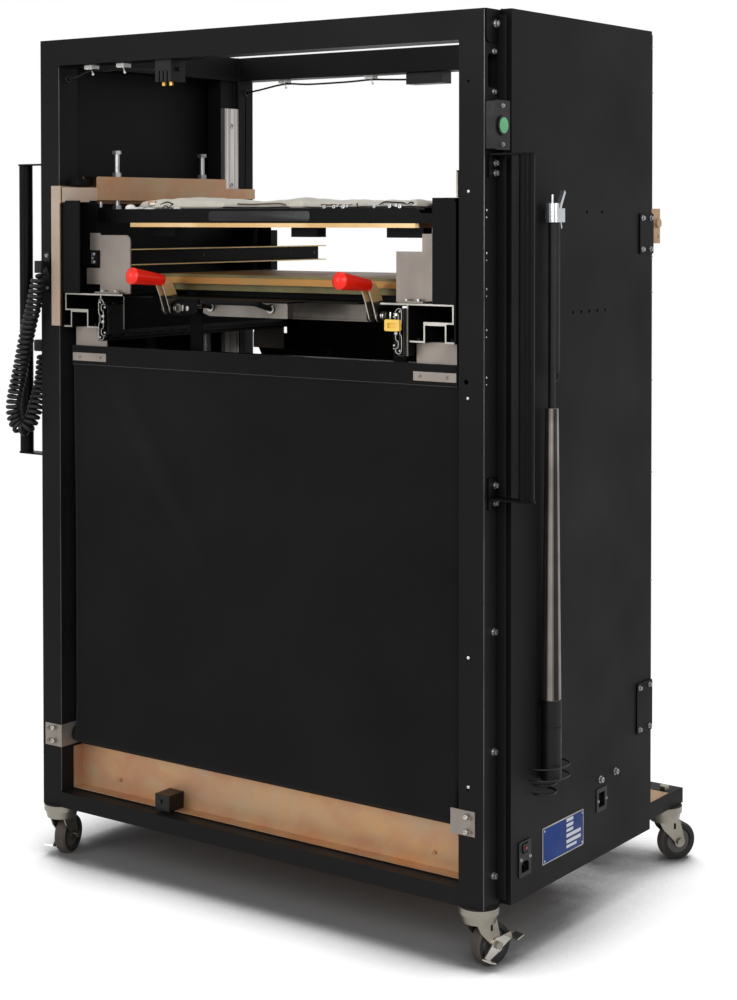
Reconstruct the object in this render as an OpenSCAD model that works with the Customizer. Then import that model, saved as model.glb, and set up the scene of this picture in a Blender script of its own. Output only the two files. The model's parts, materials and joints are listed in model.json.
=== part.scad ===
// Rolling lift press: an electric lift frame carries a press head with a pull-out
// lower platen, ball-bearing slides, toggle clamps, curtains and locking castors.
// X runs to the right, Y to the back and Z up. The origin is under the middle, on the floor.

/* [Frame] */
// Width of the welded frame over its posts
frame_w = 1042; // [1000:1:1200]
// Height of the frame without its castors
frame_h = 1524; // [1480:1:1700]
// Depth of the frame to the back of the rear posts
frame_d = 606; // [580:1:700]
// Side of the square tube
tube = 50.8; // [40:0.1:54]
// Wall of the square tube
tube_wall = 3; // [2:0.5:5]
// Height of the bottom front rail
front_sill = 30.5; // [20:0.5:40]
// Length of the base from the front face
base_len = 745; // [720:1:800]
// Height of the base rails
base_rail = 30; // [20:1:36]
// Height of the base rails' underside over the frame's bottom
base_lift = 3; // [0:0.5:6]

/* [Side panels] */
// Depth of the folded side panels
panel_depth = 19.4; // [12:0.1:28]
// Sheet of the side panels
panel_wall = 1.5; // [1:0.1:2.5]
// Distance from a side panel's back edge to the frame's back
panel_back = 41.1; // [30:0.1:50]
// Gap between a front post and its side panel
panel_gap = 4.8; // [3:0.1:8]
// Height of the panels over the frame's top
panel_over = 2.7; // [0:0.1:6]

/* [Lift] */
// Height of the carriage shelves over the frame's bottom
shelf_z = 1022; // [990:1:1040]
// Gap between a carriage side and a post
side_gap = 5.2; // [3:0.1:8]
// Sheet of the carriage
sheet = 3; // [2:0.1:4]
// Distance from the carriage's back to the frame's back
carriage_short = 4; // [2:0.5:8]
// Width of a lift rail
rail_w = 46; // [30:1:50]
// Thickness of a lift rail
rail_t = 11; // [8:0.5:14]
// Distance from the lift rails' top to the top rails
rail_drop = 61.2; // [30:0.1:100]
// Diameter of a lift actuator's tube
lift_tube_d = 42; // [36:1:44]
// Diameter of a lift actuator's rod
lift_rod_d = 24; // [16:1:28]
// Running clearance round a lift rod
rod_clear = 0.3; // [0.2:0.05:0.5]
// Height of the lift actuators' tubes over the frame's bottom
lift_tube_top = 806; // [700:1:830]
// Height of a lift rod's lower end at rest
rod_bottom = 480; // [475:1:600]

/* [Slides] */
// Length of the drawer slides
slide_len = 558; // [450:1:580]
// Height of the drawer slides
slide_h = 82; // [76:1:84]
// Thickness of a slide from drawer to carriage
slide_t = 21; // [19:0.5:24]
// Sheet of the slide members
slide_sheet = 1.5; // [1.2:0.1:2]
// Diameter of a slide's balls
ball_d = 4.8; // [4:0.1:5]
// Balls in one row
balls = 8; // [4:1:12]
// Half width of the drawer over its walls
drawer_half = 340; // [320:1:345]

/* [Drawer] */
// Length of the drawer's plate
drawer_len = 457; // [400:1:500]
// Height of the drawer's walls
drawer_wall = 63; // [50:1:66]
// Half width of the lower platen
low_half = 290; // [250:1:302]
// Depth of the lower platen
low_d = 300; // [250:1:330]
// Height of the lower platen over the drawer
low_h = 43; // [40:1:50]
// Distance of the toggle clamps from the middle
toggle_x = 245; // [225:1:260]
// Diameter of a toggle plunger
plunger_d = 12; // [10:0.5:14]
// Running clearance of pins and plungers
fit = 0.1; // [0.05:0.01:0.15]
// Largest diameter of a toggle grip
grip_d = 32; // [24:1:34]
// Reach of the toggle grips in front of the frame
grip_reach = 44; // [40:1:60]
// Reach of the pull handle in front of the frame
pull_reach = 45; // [40:1:50]
// Thickness of the pull handle's bar
pull_d = 10; // [8:0.5:12]

/* [Press head] */
// Half width of the upper platen
up_half = 341; // [320:1:345]
// Front edge of the upper platen
up_front = 65; // [60:1:80]
// Depth of the upper platen
up_d = 435; // [400:1:450]
// Thickness of the upper platen
up_t = 8; // [6:0.5:12]
// Underside of the upper platen over the shelves
up_z = 133; // [128:1:140]
// Thickness of the insulation blanket
blanket_t = 17; // [10:1:25]
// Diameter of a levelling bolt
level_d = 10; // [8:0.5:12]

/* [Curtains] */
// Half width of the curtains
curtain_half = 455; // [440:1:460]
// Thickness of the curtain cloth
cloth = 1.5; // [1:0.1:2]
// Height of the curtain rollers over the frame's bottom
roller_z = 143; // [135:1:150]
// Radius of a roller with its cloth
roller_r = 15.7; // [12:0.1:18]
// Diameter of a roller's pins
roller_pin = 8; // [6:0.5:10]

/* [Wand] */
// Diameter of the wand socket
socket_d = 36; // [34:1:40]
// Height of the wand socket's foot over the frame's bottom
socket_z = 195; // [180:1:220]
// Length of the wand socket
socket_len = 140; // [120:1:160]
// Diameter of the wand at its lower end
wand_d = 34; // [32.5:0.5:36]
// Diameter of the wand tube at its upper end
wand_tip = 23; // [20:0.5:28]
// Height of the wand tube's upper end
wand_top = 843; // [750:1:870]
// Height of the wand rods' upper end
wand_rod_top = 1165; // [1100:1:1200]
// Place of the wand along the side panel
wand_y = 160; // [150:1:250]

/* [Side handles] */
// Diameter of the side handles
handle_d = 27; // [22:0.5:32]
// Height of a side handle's lower end
handle_z0 = 700; // [680:1:720]
// Distance from a side handle's upper end to the frame's top
handle_drop = 246; // [243:1:260]
// Distance from the post to a side handle's axis
handle_off = 68; // [60:1:80]

/* [Castors] */
// Height of a castor
castor_h = 108; // [106:1:120]
// Diameter of a castor wheel
wheel_d = 76; // [60:1:78]
// Width of a castor wheel
wheel_w = 24; // [20:1:28]
// Trail of a castor
castor_trail = 26; // [20:1:30]
// Distance of the rear castors from the front face
rear_castor_y = 711; // [700:1:715]
// Turn of the front castors about their stems at rest
front_turn = -15; // [-20:1:0]
// Turn of the rear castors about their stems at rest
rear_turn = -33; // [-40:1:-20]

/* [Hidden] */
$fn = 48;
eps = 0.01;
half_w = frame_w / 2;
inner = half_w - tube;
rear_y = frame_d - tube;
top_z = frame_h - tube;
base_top = base_lift + base_rail;
panel_y = tube + panel_gap;
panel_end = frame_d - panel_back;
panel_x = half_w + panel_depth;
side_out = inner - side_gap;
side_in = side_out - sheet;
carriage_front = -5;
carriage_back = frame_d - carriage_short;
rail_top = top_z - rail_drop;
handle_z1 = frame_h - handle_drop;
button_y = 25;
button_z = frame_h - 196;
button_d = 27;
stem_d = 12;
button_box_t = 20;
press = 4;
cord_plate = [-513, -495, 1026, 1106];
rail_x = side_out + 6;
rail_back_x = rail_x + rail_t;
rail_y = rear_y - rail_w;
lift_x = half_w - lift_tube_d / 2 - 5;
lift_y = rail_y - lift_tube_d / 2 - 18;
slide_x = drawer_half + slide_t;
slide_z0 = -88;
slide_mid = slide_z0 + slide_h / 2;
mid_half = slide_h / 2 - slide_sheet - ball_d - 0.2;
in_half = mid_half - slide_sheet - ball_d - 0.2;
mid_web = slide_t / 2 - 1.5;
hat_in = 396;
hat_out = 443;
hat_top = -31;
hat_foot = -64;
shelf_in = 305;
shelf_out = side_in - 4;
upright_in = 416;
curtain_top = -103;
clamp_z0 = -136;
front_cloth_y = 20.5;
rear_cloth_y = carriage_back - 12;
front_roller_y = front_cloth_y + cloth + 0.3 + roller_r;
rear_roller_y = rear_cloth_y - 0.3 - roller_r;
socket_x = panel_x + socket_d / 2;
pivot_y = 74;
pivot_z = -24;
plunger_z = -22;
grip_back = 50;
grip_z = 31;
grip_len = grip_back + grip_reach;
grip_tilt = atan2(11, grip_len);
keeper_y = 150;
plunger_front = pivot_y + 33;
arm_top = 233;
arm_low = 214;
castor_x = half_w - tube / 2;
front_castor_y = tube / 2;
axle_z = wheel_d / 2 - castor_h;
low_y = 92;
low_z = -1;
hanger_y = [130, 393];
level_x = side_in - 25;
post_screws = [frame_h - 24.4, 470.6, 265.8, 53.6];
edge_screws = [frame_h - 24, frame_h - 112, 1178, 1097, 1029, 860, 682, 472, 264];
edge_screw_y = frame_d - 11;
tab_screws = [handle_z1 - 13, handle_z1 - 30, handle_z0 + 20, handle_z0 - 10];
wrap_z = [[1104, 1181, panel_end - 50.9], [193, 290, panel_end - 57.9]];
corner_h = 57;
inlet = [79, 119, 39, 100];
data = [353, 391, 83, 126];
tab_pin = [22, -35];
base_x = 10.95;
lever_x = 7.75;
pan_y = 57;
pan_top = 116;
pan_t = 1.5;
front_reach = (grip_len - 0.625 * grip_d) * cos(grip_tilt) + 0.625 * grip_d - grip_back;
rear_reach = rear_castor_y + (castor_trail + wheel_d / 2) * cos(rear_turn) - (wheel_w / 2 - 4) * sin(rear_turn);
y_mid = (rear_reach - front_reach) / 2;

// Axis of the curly cord's body
cord_route = [
    [-506, -20, 1060.8], [-517, -22, 1010], [-536, -23, 950], [-557, -24, 870],
    [-575, -24, 805], [-574, -22, 770], [-560, -18, 752], [-546, -10, 762],
    [-541, 4, 800], [-540, 20, 850], [-540, 26, 903.2]
];
cord_r = 15;
// Wire under the front top rail
front_wire = [
    for (p = [[0.2 - inner, 25, 25], [-450, 32, 21], [-420, 40, 9], [-378, 41, 12], [-335, 42, 9],
        [-280, 41, 14],
        [-225, 40, 18]]) [p[0], p[1], top_z - p[2]]
];
// Wire under the rear top rail
rear_wire = [
    for (p = [[0.2 - inner, 24, 24], [-430, 25, 19], [-360, 26, 9], [-300, 26, 12], [-240, 26, 12],
        [-180, 26, 11],
        [-128, 26, 9], [-80, 26, 11], [-28, 25, 13]]) [p[0], frame_d - p[1], top_z - p[2]]
];
wire_r = 2;

// Moves the frame's coordinates to the floor and the middle
module place() {
    translate([0, -y_mid, castor_h]) children();
}

// The same for what rides on the lift carriage, measured from its shelves
module carried() {
    place() translate([0, 0, shelf_z]) children();
}

module both() {
    children();
    mirror([1, 0, 0]) children();
}

module box(x0, x1, y0, y1, z0, z1) {
    translate([x0, y0, z0]) cube([x1 - x0, y1 - y0, z1 - z0]);
}

// A section in X and Z, drawn along Y
module along_y(y0, y1) {
    translate([0, y1, 0]) rotate([90, 0, 0]) linear_extrude(y1 - y0) children();
}

// A section in Y and Z, drawn along X
module along_x(x0, x1) {
    translate([x0, 0, 0]) rotate([90, 0, 90]) linear_extrude(x1 - x0) children();
}

module rect(x0, x1, y0, y1) {
    translate([x0, y0]) square([x1 - x0, y1 - y0]);
}

module round_rect(x0, x1, y0, y1, r) {
    rect(x0 + r, x1 - r, y0, y1);
    rect(x0, x1, y0 + r, y1 - r);
    for (x = [x0 + r, x1 - r], y = [y0 + r, y1 - r]) translate([x, y]) circle(r);
}

module rod_x(x0, x1, y, z, d) {
    translate([x0, y, z]) rotate([0, 90, 0]) cylinder(d = d, h = x1 - x0);
}

module rod_y(y0, y1, x, z, d) {
    translate([x, y0, z]) rotate([-90, 0, 0]) cylinder(d = d, h = y1 - y0);
}

module rod_z(z0, z1, x, y, d) {
    translate([x, y, z0]) cylinder(d = d, h = z1 - z0);
}

// A square tube with closed ends
module tube_box(x0, x1, y0, y1, z0, z1) {
    t = tube_wall;
    difference() {
        box(x0, x1, y0, y1, z0, z1);
        box(x0 + t, x1 - t, y0 + t, y1 - t, z0 + t, z1 - t);
    }
}

// A socket head screw on a washer, standing on a face and pointing up
module cap_screw(d) {
    difference() {
        union() {
            cylinder(d = d * 1.9, h = d * 0.2);
            cylinder(d = d * 1.4, h = d * 0.9);
        }
        translate([0, 0, d * 0.5]) cylinder(d = d * 0.75, h = d, $fn = 6);
    }
}

module screw_side(x, y, z, d) {
    translate([x, y, z]) rotate([0, 90, 0]) cap_screw(d);
}

module hex_head(d, h) {
    cylinder(d = d, h = h, $fn = 6);
}

function spline(p, n) = [
    for (i = [0 : len(p) - 2], k = [0 : n - 1])
        let (a = p[max(i - 1, 0)], b = p[i], c = p[i + 1], d = p[min(i + 2, len(p) - 1)], t = k / n)
        b + t * (c - a) / 2 + t * t * (a - 2.5 * b + 2 * c - d / 2) + t * t * t * (1.5 * b - 1.5 * c + (d - a) / 2),
    p[len(p) - 1]
];
function unit(v) = v / norm(v);

// A plain round tube along a route
module sweep(route, r, sides, n, side_ref = [0.13, 1, 0.08]) {
    p = spline(route, n);
    m = len(p);
    rings = [
        for (i = [0 : m - 1])
            let (t = unit(p[min(i + 1, m - 1)] - p[max(i - 1, 0)]), u = unit(cross(t, side_ref)),
                v = cross(t, u))
            for (k = [0 : sides - 1]) p[i] + r * (cos(360 * k / sides) * u + sin(360 * k / sides) * v)
    ];
    faces = concat(
        [[for (k = [0 : sides - 1]) k]],
        [for (i = [0 : m - 2], k = [0 : sides - 1])
            let (a = i * sides + k, b = i * sides + (k + 1) % sides)
            [a, a + sides, b + sides, b]],
        [[for (k = [sides - 1 : -1 : 0]) (m - 1) * sides + k]]
    );
    polyhedron(rings, faces, convexity = 4);
}

// ---- Frame ----

module front_frame() {
    place() color("#2b2b2b") difference() {
        union() {
            both() tube_box(inner, half_w, 0, tube, 0, frame_h);
            tube_box(-inner, inner, 0, tube, top_z, frame_h);
            tube_box(-inner, inner, 0, tube, 0, front_sill);
        }
        // Cut-out in the right post for the switch wiring
        along_x(half_w - tube_wall - 1, half_w + 1) round_rect(11, 43, frame_h - 132, frame_h - 75, 6);
        for (z = [frame_h - 121, 1219, 865, 202]) rod_y(-1, tube_wall + 1, 489, z, 5);
        rod_y(-1, tube_wall + 1, 485, 895, 9);
        rod_x(-inner - tube_wall - 1, -inner + 1, front_wire[0][1], front_wire[0][2], 8);
        both() rod_z(-1, tube_wall + 1, castor_x, front_castor_y, 12 + 2 * fit);
    }
}

module rear_frame() {
    place() color("#2b2b2b") difference() {
        union() {
            both() {
                tube_box(inner, half_w, rear_y, frame_d, base_top, frame_h);
                tube_box(inner, half_w, tube, rear_y, top_z, frame_h);
                tube_box(rail_back_x, half_w, rail_y, rear_y, base_top, top_z);
            }
            tube_box(-inner, inner, rear_y, frame_d, top_z, frame_h);
        }
        rod_x(-inner - tube_wall - 1, -inner + 1, rear_wire[0][1], rear_wire[0][2], 8);
    }
}

module base_frame() {
    place() color("#2b2b2b") difference() {
        union() {
            both() tube_box(inner, half_w, tube, base_len, base_lift, base_top);
            tube_box(-inner, inner, base_len - tube, base_len, base_lift, base_top);
        }
        both() rod_z(0, base_top + 1, castor_x + 1.4, rear_castor_y, 12 + 2 * fit);
    }
}

// Lower tray for the batteries, rear floor plate and the tan plates behind the right post
module zinc_trays() {
    pan_half = inner - 1.2;
    t = pan_t;
    place() color("#b89060") {
        box(-pan_half, pan_half, pan_y, pan_y + t, base_top, pan_top);
        box(-pan_half - 20, pan_half + 20, pan_y, 440, base_top, base_top + t);
        box(-pan_half, pan_half, 32, pan_y + eps, base_top, base_top + t);
        both() box(pan_half - t, pan_half, 32, pan_y + eps, base_top, pan_top);
        for (x = [-365, 383]) translate([x, pan_y + eps, 60]) rotate([90, 0, 0]) cap_screw(5);
        difference() {
            box(5 - half_w, half_w - 5, frame_d + 2, base_len - tube - 4, base_top, base_top + t);
            both() rod_z(0, base_top + 9, castor_x - 12, frame_d + 20, 6);
        }
        difference() {
            box(half_w, half_w + sheet, rear_y + 30, frame_d + 26, 1123, 1190);
            rod_x(half_w - 1, half_w + 9, frame_d + 17, 1136, 7);
            rod_x(half_w - 1, half_w + 9, edge_screw_y, edge_screws[2], 11);
        }
        rod_x(half_w + sheet - eps, half_w + 9, frame_d + 12, 1162, 18);
    }
}

module lift_rails() {
    place() color("#c9ccd0") both() difference() {
        box(rail_x, rail_back_x, rail_y, rear_y, base_top, rail_top);
        for (z = [base_top + 40 : 130 : rail_top - 20]) {
            rod_x(rail_x - 1, rail_x + 3, rail_y + rail_w / 2, z, 12);
            rod_x(rail_x, rail_x + 6, rail_y + rail_w / 2, z, 5);
        }
    }
}

module lift_actuators() {
    foot = 57;
    place() color("#3a3a3c") both() difference() {
        union() {
            box(lift_x - 22, lift_x + 22, lift_y - 30, lift_y + 22, base_top + pan_t, base_top + foot);
            rod_z(base_top + foot - eps, lift_tube_top, lift_x, lift_y, lift_tube_d);
            rod_z(lift_tube_top - 24, lift_tube_top, lift_x, lift_y, lift_tube_d + 3);
        }
        rod_z(base_top + foot, lift_tube_top + 1, lift_x, lift_y, lift_rod_d + 2 * rod_clear);
    }
}

// A folded side panel, open towards the frame
module side_tray() {
    z0 = -0.7;
    z1 = frame_h + panel_over;
    t = panel_wall;
    difference() {
        union() {
            difference() {
                box(half_w, panel_x, panel_y, panel_end, z0, z1);
                box(half_w - 1, panel_x - t, panel_y + t, panel_end - t, z0 + t, z1 - t);
            }
            // Strip that closes the gap behind the post
            box(half_w, half_w + t, tube, panel_y + eps, z0, z1);
        }
        for (z = [[63, 55], [155, 103], [246, 238]])
            box(half_w - 1, half_w + t + 1, tube - 1, panel_y - eps, frame_h - z[0], frame_h - z[1]);
    }
}

module right_side_panel() {
    place() color("#262626") difference() {
        side_tray();
        box(half_w + 3, panel_x + 1, inlet[0] + 3, inlet[1] - 3, inlet[2] + 3, inlet[3] - 3);
        box(half_w + 3, panel_x + 1, data[0] + 3, data[1] - 3, data[2] + 3, data[3] - 3);
        for (y = [315, 371]) rod_x(panel_x - 9, panel_x + 1, y, 1183, 6);
        for (i = [0 : 4]) rod_x(panel_x - 9, panel_x + 1, 265 + 29.5 * i, 1004, 6);
    }
}

module left_side_panel() {
    place() color("#262626") mirror([1, 0, 0]) side_tray();
}

module corner_plates() {
    place() color("#333333") both() {
        along_x(half_w, half_w + sheet) {
            round_rect(3, tube - 0.8, frame_h - corner_h, frame_h, 10);
            rect(14, tube - 0.8, frame_h - corner_h, frame_h);
            rect(3, tube - 0.8, frame_h - 40, frame_h);
        }
        for (w = wrap_z) {
            along_x(panel_x, panel_x + sheet) round_rect(w[2], panel_end + sheet, w[0], w[1], 5);
            box(half_w, panel_x + eps, panel_end, panel_end + sheet, w[0] + 6, w[1] - 6);
        }
    }
}

module frame_screws() {
    place() color("#b9bbbf") {
        both() {
            for (z = post_screws) screw_side(z > frame_h - corner_h ? half_w + sheet : half_w, 30, z, 7);
            for (z = tab_screws) screw_side(half_w + sheet, 30, z, 6);
            for (z = edge_screws) screw_side(half_w, edge_screw_y, z, 5);
            for (w = wrap_z, y = [w[2] + 9, panel_end - 9], z = [w[0] + 9, w[1] - 9])
                screw_side(panel_x + sheet, y, z, 5);
            for (z = [frame_h - 71, frame_h - 139]) screw_side(half_w, 29, z, 5);
        }
        for (z = [button_z - 32, button_z + 33]) screw_side(half_w + button_box_t, button_y, z, 4);
        screw_side(panel_x, 368, 142, 7);
        screw_side(panel_x, 425, 144, 7);
        for (y = [inlet[0] + 5, inlet[1] - 5]) screw_side(panel_x + 2.5, y, 70, 3);
        for (y = [data[0] + 4, data[1] - 4]) screw_side(panel_x + 1.6, y, 104, 3);
        for (z = [cord_plate[2] + 8, cord_plate[3] - 8]) translate([-502, -3, z]) rotate([90, 0, 0])
            cap_screw(4);
    }
}

module side_handles() {
    x = half_w + handle_off;
    y0 = 25 - 18;
    place() color("#242424") both() {
        difference() {
            rod_z(handle_z0, handle_z1, x, 25, handle_d);
            rod_z(handle_z0 + 2, handle_z1 - 2, x, 25, handle_d - 4);
        }
        for (z = [handle_z0 - sheet, handle_z1]) {
            translate([0, 0, z]) linear_extrude(sheet) {
                rect(half_w, x, y0 + 3, 25 + 15);
                translate([x, 25]) circle(handle_d / 2 + 2);
            }
        }
        box(half_w, half_w + sheet, y0 + 3, 40, handle_z1 - 38, handle_z1 + eps);
        box(half_w, half_w + sheet, y0 + 3, 40, handle_z0 - 20, handle_z0 + 34);
    }
}

module control_boxes() {
    place() color("#1f1f1f") {
        difference() {
            union() {
                along_x(half_w, half_w + button_box_t) round_rect(2, 49, button_z - 41, button_z + 42, 3);
                rod_x(half_w + button_box_t - eps, half_w + button_box_t + 3, button_y, button_z, 34);
            }
            rod_x(half_w + 6.5, half_w + 30, button_y, button_z, button_d + 0.4);
            rod_x(half_w + 1.5, half_w + 9, button_y, button_z, stem_d + 2 * fit);
        }
        along_y(-3, 0) round_rect(cord_plate[0], cord_plate[1], cord_plate[2], cord_plate[3], 3);
        rod_y(-20, -3 + eps, cord_route[0][0], 1078, 16);
        rod_z(1064, 1088, cord_route[0][0], cord_route[0][1], 20);
        along_x(-half_w - 34, -half_w) round_rect(12, 40, 905, 928, 4);
    }
}

module inlet_panel() {
    place() color("#1a1a1a") {
        difference() {
            union() {
                along_x(panel_x, panel_x + 2.5) round_rect(inlet[0], inlet[1], inlet[2], inlet[3], 3);
                box(half_w + 6, panel_x + eps, inlet[0] + 3.5, inlet[1] - 3.5, inlet[2] + 3.5,
                    inlet[3] - 3.5);
            }
            box(panel_x - 9.4, panel_x + 9, 89, 109, 78.5, 96.5);
            along_x(panel_x - 12, panel_x + 9) polygon([[87, 46], [111, 46], [111, 60], [106, 65],
                [92, 65], [87, 60]]);
        }
        for (p = [[99, 60], [92, 53], [106, 53]])
            box(panel_x - 12 - eps, panel_x - 2, p[0] - 1, p[0] + 1, p[1] - 2, p[1] + 2);
        difference() {
            union() {
                along_x(panel_x, panel_x + 1.6) round_rect(data[0], data[1], data[2], data[3], 2);
                box(half_w + 8, panel_x + eps, data[0] + 3.5, data[1] - 3.5, data[2] + 3.5, data[3] - 3.5);
            }
            box(panel_x - 8, panel_x + 9, data[0] + 8, data[1] - 8, data[2] + 8, data[3] - 8);
        }
    }
}

module wand_socket() {
    top = socket_z + socket_len;
    place() color("#202020") {
        difference() {
            union() {
                rod_z(socket_z, top, socket_x, wand_y, socket_d);
                box(panel_x, socket_x, wand_y - 10, wand_y + 10, socket_z + 15, top - 15);
            }
            rod_z(socket_z + 10, top + 1, socket_x, wand_y, wand_d - 4 + 2 * fit);
        }
        for (z = [socket_z - 8, socket_z - 24])
            translate([panel_x, wand_y, z]) rotate([0, 0, -90]) rotate_extrude(angle = 180)
                translate([24, 0]) circle(d = 4);
    }
}

module roller_brackets() {
    z0 = roller_z - 22;
    z1 = roller_z + 22;
    place() color("#c4c4c4") {
        difference() {
            union() {
                both() {
                    box(inner - 2, inner, -2, front_roller_y + 12, z0, z1);
                    box(inner - 2, inner, rear_roller_y - 12, frame_d + 2, z0, z1);
                    box(inner - 2, 513, frame_d, frame_d + 2, z0, z1);
                }
                box(-513, 2 - inner, -2, 0, z0, z1);
                box(455, 504, -2, 0, z0 + 3, z1 + 2);
            }
            for (y = [front_roller_y, rear_roller_y]) rod_x(-inner - 1, inner + 1, y, roller_z, roller_pin);
        }
        for (x = [-503, 495], z = [roller_z - 12, roller_z + 12])
            translate([x, -2, z]) rotate([90, 0, 0]) cap_screw(4.5);
    }
}

module batteries() {
    battery_top = 230;
    place() color("#555555") {
        for (x = [-250, -60]) {
            box(x, x + 170, 120, 400, base_top + pan_t, battery_top);
            for (dx = [30, 140]) rod_z(battery_top, battery_top + 10, x + dx, 150, 14);
        }
        box(150, 350, 150, 330, base_top + pan_t, 130);
    }
}

module wiring_blocks() {
    block_z = top_z - 42;
    screw_y = 24;
    place() color("#222222") {
        difference() {
            box(-225, -185, 10, tube, block_z, top_z);
            for (x = [-216, -206, -196]) box(x, x + 3, 9, 20, block_z - 1, block_z + 21);
        }
        for (x = [-215, -197]) rod_z(block_z - 7, block_z, x, screw_y, 8);
        rod_x(-185, -179, 30, top_z - 18, 8);
        for (x = [-420, -335]) box(x - 10, x + 10, 30, tube, top_z - 7, top_z);
        for (x = [-360, -128]) box(x - 10, x + 10, frame_d - 36, frame_d - 16, top_z - 7, top_z);
        box(-28, 61, frame_d - 41, frame_d - 6, top_z - 24, top_z);
        box(-235, -199, 15, pan_y, base_top + pan_t, base_top + 33);
        rod_y(12, 15, -222, base_top + 19, 8);
    }
}

module top_wires() {
    place() color("#181818") {
        sweep(front_wire, wire_r, 8, 3);
        sweep(rear_wire, wire_r, 8, 3);
    }
}

module coil_cord() {
    place() color("#161616") sweep(cord_route, cord_r, 10, 4);
}

// ---- Controls ----

module start_button() {
    place() color("#2f8f4a") {
        rod_x(half_w + 6.8 + press, half_w + 23.5, button_y, button_z, button_d);
        rod_x(half_w + 1.8 + press, half_w + 6.8 + press + eps, button_y, button_z, stem_d);
    }
}

module power_switch() {
    x = panel_x - 2.4;
    place() color("#c03028") translate([x, 0, 87.5]) rotate([0, -6, 0]) translate([-x, 0, -87.5]) {
        box(panel_x - 6, panel_x + 4.5, 89.4, 108.6, 81, 94);
        rod_y(89.4, 108.6, panel_x - 4, 87.5, 8);
    }
}

// ---- Curtains ----

module roller(y) {
    rod_x(-inner + 6, inner - 6, y, roller_z, 2 * roller_r);
    rod_x(0.5 - inner, inner - 0.5, y, roller_z, roller_pin - 2 * fit);
}

module front_roller() {
    place() color("#1d1d1f") roller(front_roller_y);
}

module rear_roller() {
    place() color("#1d1d1f") roller(rear_roller_y);
}

module front_curtain() {
    place() color("#202020")
        box(-curtain_half, curtain_half, front_cloth_y, front_cloth_y + cloth, roller_z,
            shelf_z + curtain_top);
}

module rear_curtain() {
    place() color("#202020")
        box(-curtain_half, curtain_half, rear_cloth_y, rear_cloth_y + cloth, roller_z,
            shelf_z + curtain_top);
}

// ---- Wand ----

module wand() {
    foot = socket_z + socket_len;
    place() color("#8d8a84") {
        rod_z(socket_z + 11, foot + eps, socket_x, wand_y, wand_d - 4);
        translate([socket_x, wand_y, foot]) cylinder(d1 = wand_d, d2 = wand_tip, h = wand_top - foot);
        rod_z(wand_top - eps, wand_rod_top, socket_x, wand_y, 12.5);
        rod_z(905, wand_rod_top, socket_x, wand_y + 15, 12.5);
        translate([socket_x, wand_y + 15, 897]) rotate([0, 90, 0]) rotate_extrude() translate([8, 0])
            circle(d = 3);
        difference() {
            union() {
                rod_z(wand_rod_top - eps, wand_rod_top + 33, socket_x, wand_y, 25);
                box(socket_x - 12, socket_x + 12, wand_y, wand_y + 24, wand_rod_top - eps,
                    wand_rod_top + 24);
            }
            box(socket_x - 4.2, socket_x + 4.2, wand_y + 13, wand_y + 30, wand_rod_top - 1,
                wand_rod_top + 40);
        }
        rod_z(wand_rod_top + 33 - eps, wand_rod_top + 48, socket_x, wand_y, 5);
    }
}

module wand_lever() {
    y = wand_y + 19;
    z = wand_rod_top + 14;
    place() color("#c9ccd0") difference() {
        union() {
            along_x(socket_x - 3.8, socket_x + 3.8) {
                translate([y, z]) circle(5.5);
                polygon([[y - 3, z], [y + 3, z - 5], [y + 9, z + 14], [y + 22, z + 38],
                    [y + 18, z + 42], [y + 3, z + 18]]);
                polygon([[y, z + 4], [y + 4, z - 4], [y + 10, z - 24], [y + 6, z - 25]]);
            }
        }
        rod_x(socket_x - 9, socket_x + 9, y, z, 3);
    }
    place() color("#c9ccd0") rod_x(socket_x - 3.9, socket_x + 3.9, y, z, 3);
}

// ---- Castors ----

module castor_stems() {
    place() color("#b7b9bd") both() for (p = [[castor_x, front_castor_y, 28],
        [castor_x + 1.4, rear_castor_y, base_top + 8]])
        translate([p[0], p[1], 0]) {
            lift = p[1] > tube ? base_lift : 0;
            translate([0, 0, lift - 12]) cylinder(d = 70, h = 12);
            translate([0, 0, lift - eps]) cylinder(d = 12, h = p[2] - lift);
            if (p[1] > tube) translate([0, 0, base_top]) hex_head(20, 8);
        }
}

// The fork of a castor, about its swivel axis, trailing along +Y
module fork(lift, room) {
    leg = wheel_w / 2 + 2;
    difference() {
        union() {
            translate([0, 0, -27]) cylinder(r1 = 29, r2 = 33, h = 14.7 + lift);
            for (s = [-1, 1]) translate([s * (leg + 1.25) - 1.25, 0, 0]) rotate([90, 0, 90])
                linear_extrude(2.5) {
                polygon([[-20, -25], [26, -25], [castor_trail + 10, axle_z + 6],
                    [castor_trail, axle_z - 11],
                    [castor_trail - 12, axle_z + 2], [-10, -44]]);
                translate([castor_trail, axle_z]) circle(11);
            }
        }
        translate([0, 0, -27 - eps]) cylinder(r = 26, h = 5);
        translate([0, castor_trail, axle_z]) rotate([0, 90, 0])
            cylinder(r = wheel_d / 2 + 2.5, h = 2 * leg - 0.2, center = true);
        for (s = [-1, 1]) translate([s * leg - 5, castor_trail - 14, axle_z + 26]) cube([10, 5, 12]);
    }
    translate([0, castor_trail, axle_z]) rotate([0, 90, 0]) {
        cylinder(d = 8, h = 2 * (leg + 3 + room), center = true);
        for (s = [-1, 1]) translate([0, 0, s * (leg + 5 + room) - 2.5]) hex_head(15, 5);
    }
}

module wheel() {
    w = wheel_w / 2;
    r = wheel_d / 2;
    translate([0, castor_trail, axle_z]) rotate([0, 90, 0]) rotate_extrude($fn = 72)
        polygon([[4.1, -w - 1.5], [9, -w - 1.5], [10, -w + 3], [r - 14, -w + 3], [r - 11, -w],
            [r - 3, -w], [r, -w + 4],
            [r, w - 4], [r - 3, w], [r - 11, w], [r - 14, w - 3], [10, w - 3], [9, w + 1.5],
                [4.1, w + 1.5]]);
}

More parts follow.
